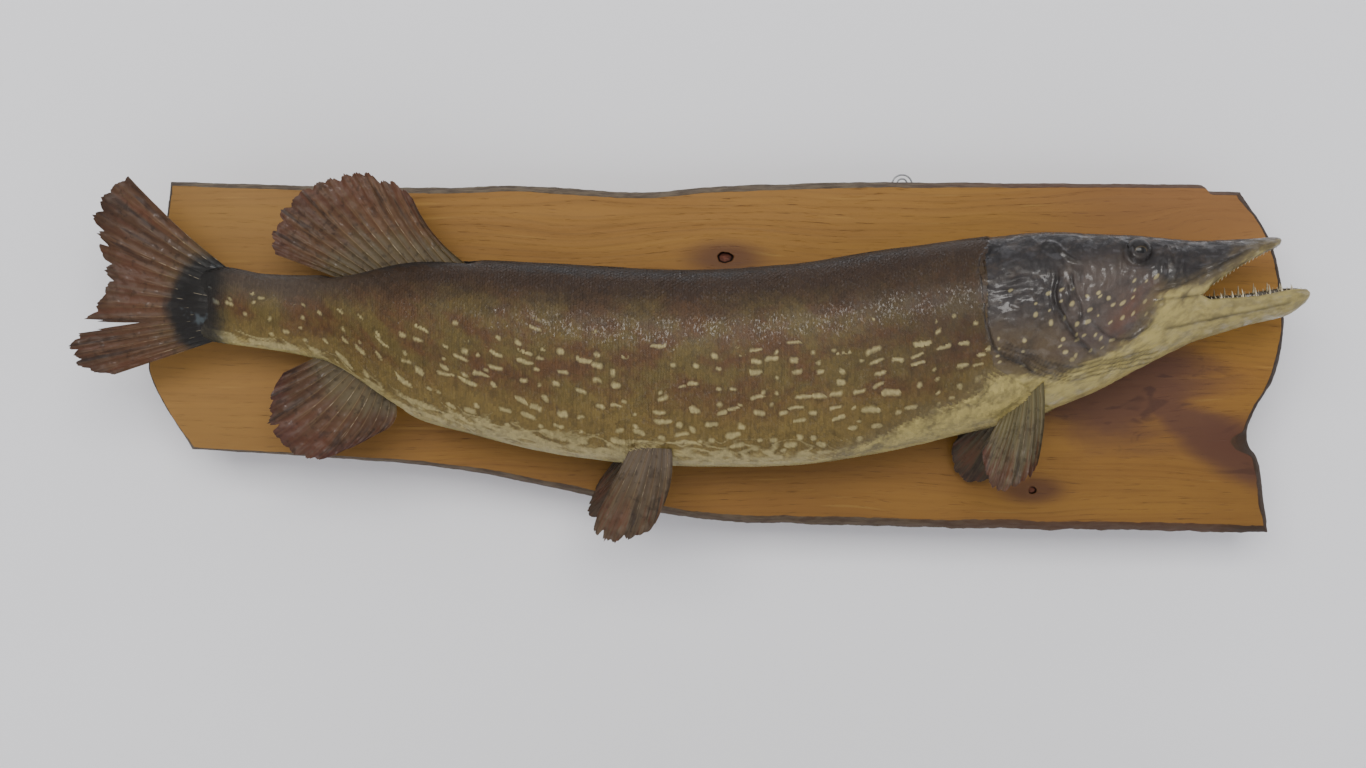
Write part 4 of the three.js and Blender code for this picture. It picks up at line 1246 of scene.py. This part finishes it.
def scale_material():
    varnish = {"Coat_Weight": 0.1, "Coat_Roughness": 0.17, "Specular_IOR_Level": 0.22}
    made, shader = new_material("varnished_scales", **varnish)
    lie, tone = attribute(made, "lie", "Vector"), attribute(made, "tone")
    places = {"Lie": lie, "Head": attribute(made, "head"), "Pale": attribute(made, "pale"), "Tone": tone}
    patches = speckle(lie, (45, 70, 1), 3.0, 0.6)
    rough = tone * 0.12 + fade(patches, 0.3, 0.7, 0.4, 0.55)
    glints = speckle(lie, (800, 380, 1), 2.0, 0.6)
    shine = fade(glints, 0.54, 0.66) * fade(patches, 0.38, 0.56, 0.1, 1.0) * 0.6 + 0.03
    grain = speckle(lie, (1500, 700, 1), 2.0, 0.6)
    colour = use_group("pike markings", places)
    fine = bump(grain + glints, 0.0003, 0.7)
    feed(shader, Base_Color=colour, Roughness=rough, Coat_Weight=shine, Normal=fine)
    return made


scales_paint = scale_material()
for band, (start, end, rows, step) in enumerate(SCALE_BANDS):
    coat = make_scales(f"scales_{band + 1}", start, end, rows, step, FIRST_SEED + band)
    coat.data.materials.append(scales_paint)
    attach(coat, "root")

# ---------------------------------------------------------------------------------------------
# Eyes: glass taxidermy balls, painted dark behind and set in the sockets with the lids shrunk
# round them.

EYE_RINGS, EYE_SIDES, EYE_GAP = 40, 64, 0.15


def make_ball(name, radius, centre):
    """A sphere whose poles point across the fish, so that the pupil sits on a pole."""
    leans = np.pi * np.arange(1, EYE_RINGS) / EYE_RINGS
    turns = np.linspace(0, 2 * np.pi, EYE_SIDES, endpoint=False)
    flat = np.stack([np.cos(turns), np.sin(turns)], 1)
    rings = [np.insert(radius * math.sin(lean) * flat, 1, -radius * math.cos(lean), 1) for lean in leans]
    points = np.vstack(rings + [[(0, -radius, 0), (0, radius, 0)]])
    near, far = len(points) - 2, len(points) - 1
    last = near - EYE_SIDES
    faces = [f[::-1] for f in ring_faces(len(rings), EYE_SIDES)]
    for s, t in zip(range(EYE_SIDES), np.roll(range(EYE_SIDES), -1)):
        faces += [(near, s, t), (last + s, far, last + t)]
    return new_piece(name, points + centre, faces)


def eye_centre(side):
    x, z, _, sink = EYE
    _, back, belly, half, axis, waist, above, _ = row_at(BODY, x)
    middle = belly + (back - belly) * waist
    reach = half * (1 - ((z - middle) / (back - middle)) ** above) ** (1 / above)
    return np.array([x, axis - side * (reach - sink), z])


def eye_material(name, centre):
    settings = {"Coat_Weight": 0.3, "Coat_Roughness": 0.09, "Coat_IOR": 1.5, "Roughness": 0.35}
    made, shader = new_material(name, Specular_IOR_Level=0.2, **settings)
    shift = tuple(-c * MM for c in centre)
    local = place("ShaderNodeMapping", {"Vector": position_in(made), "Location": shift})
    x, _, z = split(local)
    far = length_of(x * 0.86, z)
    colour = coats(
        blend(fade(speckle(local, 900, 3.0, 0.6), 0.35, 0.65), "#0e0b09", "#1e1812"),
        (fade(far, 0.0033, 0.0036) * fade(far, 0.0046, 0.0038) * 0.5, "#54462c"),
        (fade(far, 0.0034, 0.0031), "#050505"),
        (fade(far, 0.0058, 0.0078), "#14100d"),
    )
    feed(shader, Base_Color=colour)
    return made


for eye_name, side in (("eye_right", 1), ("eye_left", -1)):
    centre = eye_centre(side)
    eye = make_ball("glass_" + eye_name, EYE[2] - EYE_GAP, centre)
    eye.data.materials.append(eye_material("glass_" + eye_name, centre))
    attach(eye, "root")
    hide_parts(eye_name)

# ---------------------------------------------------------------------------------------------
# Teeth: the fish's own. Long fangs stand along the lower jaw with small ones between, and the
# upper jaw carries low edge teeth with bands of needles on the palate behind them.

FANGS = [(394, 4.2), (403, 5.4), (411, 6.6), (421.5, 7.4), (433, 7.6), (443, 6.4), (452, 4.6)]
TOOTH_CREAM, TOOTH_STAIN = "#b5aa8c", "#8d7f60"
TOOTH_SIDES, TOOTH_STEPS = 10, 6
PALATE_BANDS = (0.5, 0.62, 0.74)  # shares of the palate's half width


def tooth(foot, reach, lean, radius):
    """A curved cone from its foot, in the direction of reach, bent towards lean."""
    foot, reach, lean = (np.array(v, float) for v in (foot, reach, lean))
    first = unit(np.cross(unit(reach), [1, 0, 0.01]))
    second = np.cross(unit(reach), first)
    turns = 2 * np.pi * np.arange(TOOTH_SIDES)[:, None] / TOOTH_SIDES
    round_it = np.cos(turns) * first + 0.8 * np.sin(turns) * second
    rings = []
    for t in np.arange(TOOTH_STEPS) / TOOTH_STEPS:
        thick = radius * (1 - t) ** 0.72 * (1.12 if t == 0 else 1)
        rings.append(foot + reach * t + lean * t * t + thick * round_it)
    points = np.vstack(rings + [foot + reach + lean])
    tip = len(points) - 1
    last = tip - TOOTH_SIDES
    faces = ring_faces(TOOTH_STEPS, TOOTH_SIDES) + [range(TOOTH_SIDES)[::-1]]
    return points, faces + [(last + k, last + (k + 1) % TOOTH_SIDES, tip) for k in range(TOOTH_SIDES)]


def tooth_rows():
    teeth = []
    rng = np.random.default_rng(7)
    for side in (1, -1):
        for x, height in FANGS:
            row = row_at(LOWER_JAW, x)
            foot = (x, row[4] - side * (row[3] - LIP * 0.95), row[1] - 1.4)
            teeth.append((foot, (0.4, side * 0.8, height + 1.2), (-1.1, side * 0.9, 0), 1.25))
        for x in np.arange(386, 464, 3.4):
            row = row_at(LOWER_JAW, x)
            foot = (x, row[4] - side * (row[3] - LIP * 0.8 * min(1, row[3] / 12)), row[1] - 1.0)
            teeth.append((foot, (0, side * 0.3, 1.9 + rng.uniform(0, 1.1)), (-0.5, side * 0.3, 0), 0.55))
        for x in np.arange(382, 443, 3.1):
            row = row_at(UPPER_JAW, x)
            foot = (x, row[4] - side * (row[3] - LIP * 0.8 * min(1, row[3] / 12)), row[2] + 1.0)
            teeth.append((foot, (-0.2, side * 0.3, -2.2 - rng.uniform(0, 1.3)), (-0.6, 0, 0), 0.6))
        for band in PALATE_BANDS:
            for x in np.arange(386, 434, 3.3):
                row = row_at(UPPER_JAW, x)
                up = PALATE_DEPTH * ease(x, UPPER_TIP - 5, UPPER_TIP - 26) * (1 - band**3) ** (1 / 3)
                foot = (x + 5 * (band - 0.6), row[4] - side * (row[3] - LIP) * band, row[2] + up + 0.5)
                teeth.append((foot, (0, 0, -2.2 - rng.uniform(0, 1.0)), (-0.9, side * 0.2, 0), 0.5))
    return teeth


points, faces = [], []
for number, spec in enumerate(tooth_rows()):
    tooth_points, tooth_faces = tooth(*spec)
    faces += [[v + number * len(tooth_points) for v in f] for f in tooth_faces]
    points.append(tooth_points)
pike_teeth = new_piece("teeth", np.vstack(points), faces)
tooth_paint, shader = new_material("teeth", Roughness=0.3, Coat_Weight=0.4, Coat_Roughness=0.15)
worn = fade(speckle(position_in(tooth_paint), 500, 3.0), 0.35, 0.7)
feed(shader, Base_Color=blend(worn, TOOTH_CREAM, TOOTH_STAIN))
pike_teeth.data.materials.append(tooth_paint)
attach(pike_teeth, "root")

# ---------------------------------------------------------------------------------------------
# Fins: dried webs stretched over branching rays and set in the flesh along their roots. Their
# margins are brittle, ragged and torn, and the paint over them is brown with a red cast.

FINS = {  # root line, margin, y at the root's and the margin's ends, rays, bow, tears, colours
    "dorsal_fin": (
        [(-201, 78), (-304, 67)],
        [(-243, 131), (-253, 142), (-268, 149), (-284, 154), (-300, 154), (-317, 149), (-332, 140),
         (-345, 127), (-354, 112), (-356, 98), (-352, 86)],
        (-74, -77.2), (-79, -86), 16, 5, [], ("#463a24", "#4a331f", "#462b1f"),
    ),
    "anal_fin": (
        [(-260, -30), (-312, 8)],
        [(-272, -58), (-294, -70), (-318, -80), (-338, -79), (-355, -66), (-363, -48), (-358, -26),
         (-347, -9)],
        (-75.4, -77.5), (-80, -88), 14, 8, [(0.68, 0.12)], ("#4b402b", "#442e1d", "#3d231c"),
    ),
    "tail_fin": (
        [(-386, 71), (-394, 19)],
        [(-468, 149), (-485, 138), (-500, 119), (-498, 98), (-492, 74), (-495, 54), (-510, 34), (-518, 17),
         (-521, 4), (-508, -7), (-484, -11)],
        (-81.6, -82.1), (-86, -85), 16, 3, [(0.27, 0.12), (0.4, 0.1), (0.63, 0.5)],
        ("#443521", "#462f1e", "#39261b"),
    ),
    "pectoral_fin_right": (
        [(255, -14), (226, -42)], [(250, -80), (242, -95), (223, -104), (213, -96), (209, -70)],
        (-118, -99), (-122, -106), 12, 3, [], ("#575037", "#4f4733", "#42291f"),
    ),
    "pectoral_fin_left": (
        [(255, -20), (224, -43)], [(244, -86), (226, -104), (204, -104), (195, -90), (194, -72), (203, -58)],
        (-56, -68), (-36, -46), 12, 3, [], ("#463c2b", "#37301f", "#30231a"),
    ),
    "pelvic_fin_right": (
        [(-36, -68), (-68, -66)],
        [(-42, -112), (-53, -135), (-68, -143), (-86, -146), (-99, -140), (-96, -122)],
        (-105, -103), (-108, -98), 10, 3, [(0.7, 0.14)], ("#4f4437", "#473a2a", "#403024"),
    ),
    "pelvic_fin_left": (
        [(-42, -74), (-74, -70)], [(-60, -124), (-84, -134), (-108, -131), (-104, -116), (-96, -100)],
        (-56, -58), (-44, -50), 10, 3, [], ("#443a2a", "#3b2f22", "#32251b"),
    ),
}
FIN_PAINT = {"rose": "#472a1b", "bar": "#20130f", "stain": "#1d1510", "lit ray": "#75623f", "dry": "#9d917a"}
FIN_PAINT |= {"hub": "#151515", "blue": "#4c565b"}
RAY_STEPS, FIN_ROWS = 10, 64
CAMBER = 3
RAY_THICKNESS, WEB_THICKNESS = (0.55, 0.2), (1.3, 0.26)  # half, at the root and at the margin
RAY_JOINT = 1.9  # from one joint in a ray to the next
FLESH = (-398, 45, 46, 6, 30, 7.2)  # the tail's: x, z, where it starts and is full, half height, swelling
DARK_HUB = (-402, 46, 54, 24)  # the paint over it: x, z, where it starts and is full


def ray_reach(rng, share, rays, tears):
    """How far each column reaches, with ragged webs and tears between the rays' uneven ends."""
    ray_place = share * (rays - 1)
    between = np.abs(ray_place - np.round(ray_place)) * 2
    nicks = rng.uniform(0.0, 1.0, rays + 1)
    nicks[[0, rays - 2]] = 0.1
    notch = 0.02 + 0.075 * nicks[np.minimum(ray_place.astype(int), rays - 1)] ** 1.6
    for at, deep in tears:
        gap = np.abs(share - at) * (rays - 1)
        notch = np.where(gap < 0.5, np.maximum(notch, deep), notch)
    short = 0.025 * np.abs(np.sin(4.6 * np.arange(rays))) + 0.03 * rng.uniform(0, 1, rays)
    short[[0, 1, -2, -1]] = 0.01
    forked = np.minimum(between, np.abs(between - 0.42) + 0.12)
    uneven = short[np.round(ray_place).astype(int)]
    return 1 - uneven - notch * forked**0.8 - 0.008 * rng.uniform(0, 1, len(share))


def make_fin(name, root, tips, root_y, tip_y, rays, bow, tears, seed):
    """A web between two faces from its root line to its tips, with a ridge along each forking ray."""
    rng = np.random.default_rng(seed)
    share = np.linspace(0, 1, (rays - 1) * RAY_STEPS + 1)
    ray_place = share * (rays - 1)
    reach = ray_reach(rng, share, rays, tears)
    start, end = np.array(root, float)
    roots = start + (end - start) * share[:, None]
    span = curve_at(tips, share) - roots
    length = np.linalg.norm(span, axis=1)
    along = (np.linspace(0, 1, FIN_ROWS) ** 0.94)[:, None] * reach[None]
    bend = bow * 4 * along * (1 - along) * (1 - share) / length
    flat = roots + span * along[..., None] + bend[..., None] * np.stack([-span[:, 1], span[:, 0]], 1)
    depth = np.interp(share, [0, 1], root_y) * (1 - along) + np.interp(share, [0, 1], tip_y) * along
    depth = depth + CAMBER * np.sin(np.pi * share) * along
    still = np.insert(flat, 1, 0, 2).reshape(-1, 3)
    sway = ripple(still + [seed * 31] * 3, 34, 2).reshape(depth.shape)
    crinkle = ripple(still + [seed * 17] * 3, 8, 2).reshape(depth.shape)
    pleat = np.cos(2 * np.pi * ray_place)[None] * 0.25 * ease(along, 0.05, 0.4)
    depth = depth + along * (3.2 * sway + 1.1 * crinkle) - pleat
    off = (ray_place - np.round(ray_place))[None]
    forks = [one * 0.16 * ease(along, 0.38, 0.8) + two * 0.07 * ease(along, 0.68, 1.0)
             for one in (-1, 1) for two in (-1, 1)]
    ridge = np.max([hill(off - fork, 0.12 - 0.065 * along) for fork in forks], axis=0)
    joints = 1 - 0.16 * (np.sin(along * length[None] * 2 * np.pi / RAY_JOINT) > 0.75) * ease(along, 0.3, 0.5)
    ray_half = np.interp(along**0.7, [0, 1], RAY_THICKNESS)
    web_half = np.interp(np.minimum(1, along * 2.2) ** 0.7, [0, 1], WEB_THICKNESS)
    is_tail = name == "dried_tail_fin"
    x, z = flat[..., 0], flat[..., 1]
    flesh_x, flesh_z, outer, inner, high, thick = FLESH
    swelling = is_tail * ease(np.hypot(x - flesh_x, z - flesh_z), outer, inner)
    swelling = swelling * np.sqrt(np.clip(1 - ((z - flesh_z) / high) ** 2, 0, 1))
    half = web_half + ridge * joints * ray_half * (1 - 0.8 * swelling) + thick * swelling
    points = np.vstack([np.stack([x, depth + way * half, z], -1).reshape(-1, 3) for way in (-1, 1)])
    points[:, 1] = np.minimum(points[:, 1], -BOARD_THICKNESS - 0.4)
    table = np.arange(along.size).reshape(along.shape)
    a, b, c, d = (t.ravel() for t in (table[:-1, :-1], table[:-1, 1:], table[1:, 1:], table[1:, :-1]))
    loop = np.concatenate([table[0], table[1:, -1], table[-1, -2::-1], table[-2:0:-1, 0]])
    after = np.roll(loop, -1)
    sides = [(a, b, c, d), (d + along.size, c + along.size, b + along.size, a + along.size)]
    sides.append((after, loop, loop + along.size, after + along.size))
    fin = new_piece(name, points, np.vstack([np.stack(side, 1) for side in sides]))
    with opened(fin) as form:
        if form.calc_volume(signed=True) < 0:
            bmesh.ops.reverse_faces(form, faces=form.faces)
    smooth_by_angle(fin, 55)
    tone = rng.uniform(0, 1, rays)[np.round(ray_place).astype(int)]
    hub = is_tail * ease(np.hypot(x - DARK_HUB[0], z - DARK_HUB[1]), *DARK_HUB[2:])
    read = {"along": along, "ray": ridge, "fan": ray_place, "hub": hub, "tone": tone}
    both = {key: np.tile(np.broadcast_to(values, along.shape).ravel(), 2) for key, values in read.items()}
    add_values(fin, **both)
    return fin


def fin_colours_group():
    inputs = {"Color": ["Root", "Middle", "Margin"], "Float": ["Along", "Fan", "Ray", "Tone", "Hub"]}
    outputs = {"Color": ["Color"], "Float": ["Stain"]}
    given, result = new_group("fin colours", inputs | {"Vector": ["Vector"]}, outputs)
    along, fan, ray = given["Along"], given["Fan"], given["Ray"]
    cloud = speckle(given["Vector"], 42, 3.0, 0.6)
    stain = fade(speckle(given["Vector"], 170, 3.0, 0.6), 0.52, 0.68)
    bars = speckle(join(fan * 1.7, along * 2.2, 0.0), 1, 3.0, 0.55)
    # Pale streaks along the outer rays are a painted highlight.
    dry = fade(speckle(join(fan * 0.9, along * 11.0, 3.0), 1), 0.56, 0.64)
    moved = (bars - 0.5) * 0.35 + ((cloud - 0.5) * 0.5 + along)
    # The tail's dark hub carries patches of painted bluish sheen.
    hub = blend(fade(cloud, 0.6, 0.7) * 0.5, FIN_PAINT["hub"], FIN_PAINT["blue"])
    colour = coats(
        given["Root"],
        (fade(moved, 0.2, 0.5), given["Middle"]),
        (fade(moved, 0.7, 0.98), given["Margin"]),
        (fade(bars, 0.5, 0.62) * fade(along, 0.3, 0.8, 0.15, 0.75), FIN_PAINT["rose"]),
        (fade(bars, 0.48, 0.36) * fade(along, 0.3, 0.85) * 0.75, FIN_PAINT["bar"]),
        (stain * 0.45, FIN_PAINT["stain"]),
        (fade(ray, 0.5, 1.0) * fade(along, 0.8, 0.4, 0.05, 0.32), FIN_PAINT["lit ray"]),
        (fade((cloud - 0.5) * 1.2 + given["Hub"], 0.2, 0.75) * 0.95, hub),
        (dry * fade(ray, 0.72, 0.95) * fade(along, 0.72, 0.5) * 0.55, FIN_PAINT["dry"]),
    )
    feed(result, Color=toned(colour, given["Tone"] * 0.4 + 0.8), Stain=stain)


def fin_material(name, colours):
    made, shader = new_material(name, Coat_Weight=0.05, Coat_Roughness=0.14, Specular_IOR_Level=0.2)
    position = position_in(made)
    inputs = {label: attribute(made, label.lower()) for label in ("Along", "Ray", "Tone", "Fan", "Hub")}
    inputs |= {"Vector": position} | dict(zip(("Root", "Middle", "Margin"), colours))
    painted = use_group("fin colours", inputs)
    glints = fade(speckle(position, 260), 0.62, 0.72, 0.01, 0.3)
    rough = fade(painted["Stain"], 0, 1, 0.45, 0.6)
    fine = bump(speckle(position, 900), 0.0003, 0.5)
    feed(shader, Base_Color=painted, Roughness=rough, Coat_Weight=glints, Normal=fine)
    return made


fin_colours_group()
for seed, (fin_name, (*form, colours)) in enumerate(FINS.items()):
    fin = make_fin("dried_" + fin_name, *form, seed + 1)
    fin.data.materials.append(fin_material("painted_" + fin_name, colours))
    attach(fin, "root")
    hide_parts(fin_name)

# ---------------------------------------------------------------------------------------------
# Stage: a pale wall behind the board, a pale floor well below it, soft light from above and in
# front, and the camera. None of it is part of the object.

WALL_Y, FLOOR_Z, FOOT_RADIUS, FLOOR_REACH, WALL_TOP, HALF_WIDTH = 60, -420, 200, 5200, 4200, 6000
STAGE_PAINT, ROOM_LIGHT, ROOM_STRENGTH = "#e6e6e9", "#e8ebf0", 0.62
LIGHTS = {  # place, size, power and colour
    "window_panel": ((-0.3, -2.9, 1.05), (2.6, 1.1), 78, "#fffdf8"),
    "ceiling_panel": ((0.1, -0.9, 2.4), (3.4, 1.6), 16, "#f6f4ff"),
    "side_panel": ((2.4, -1.9, 0.5), (1.2, 1.6), 9, "#f6f8ff"),
}
CAMERA_AIM = Vector((-0.027, -0.026, -0.022))
CAMERA_DISTANCE, CAMERA_RISE, CAMERA_LENS = 1.55, math.radians(4), 49.1


def stage_material(name, colour):
    """Pale paint that can't be seen from behind."""
    made, shader = new_material(name, Roughness=0.9, Specular_IOR_Level=0.2)
    shader.inputs["Base Color"].default_value = paint(colour)
    tree = made.node_tree
    behind = place("ShaderNodeNewGeometry", {}, tree=tree)["Backfacing"]
    clear = place("ShaderNodeBsdfTransparent", {}, tree=tree)
    mixed = place("ShaderNodeMixShader", {0: behind, 1: Value(shader.outputs[0]), 2: clear})
    feed(tree.nodes["Material Output"], Surface=mixed)
    return made


def make_backdrop():
    """One sheet: wall, a rounded foot, then floor."""
    profile = [(WALL_Y, WALL_TOP)]
    for turned in np.linspace(0, np.pi / 2, 24):
        y = WALL_Y - FOOT_RADIUS * (1 - math.cos(turned))
        profile.append((y, FLOOR_Z + FOOT_RADIUS * (1 - math.sin(turned))))
    profile.append((-FLOOR_REACH, FLOOR_Z))
    points = [(side * HALF_WIDTH, y, z) for y, z in profile for side in (-1, 1)]
    faces = [(2 * k + 1, 2 * k, 2 * k + 2, 2 * k + 3) for k in range(len(profile) - 1)]
    return new_piece("backdrop", points, faces)


def aimed(name, data, at, target):
    """A light or camera in the scene, at one place and turned to another."""
    made = bpy.data.objects.new(name, data)
    bpy.context.scene.collection.objects.link(made)
    made.location = at
    made.rotation_euler = (Vector(target) - Vector(at)).to_track_quat("-Z", "Y").to_euler()
    return made


backdrop = make_backdrop()
backdrop.data.materials.append(stage_material("pale_wall", STAGE_PAINT))
backdrop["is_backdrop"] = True
for light_name, (at, size, power, colour) in LIGHTS.items():
    lamp = bpy.data.lights.new(light_name, "AREA")
    lamp.shape, lamp.size, lamp.size_y = "RECTANGLE", size[0], size[1]
    lamp.energy, lamp.color = power, paint(colour)[:3]
    aimed(light_name, lamp, at, (0, 0, 0))

world = bpy.data.worlds.new("room")
world.use_nodes = True
world.node_tree.nodes["Background"].inputs["Color"].default_value = paint(ROOM_LIGHT)
world.node_tree.nodes["Background"].inputs["Strength"].default_value = ROOM_STRENGTH
bpy.context.scene.world = world

lens = bpy.data.cameras.new("camera")
lens.lens, lens.sensor_width = CAMERA_LENS, 36
camera_at = CAMERA_AIM + CAMERA_DISTANCE * Vector((0, -math.cos(CAMERA_RISE), math.sin(CAMERA_RISE)))
bpy.context.scene.camera = aimed("camera", lens, camera_at, CAMERA_AIM)

built_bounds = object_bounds()
size = {"cad": [list(c) for c in cad_bounds], "built": [list(c) for c in built_bounds]}
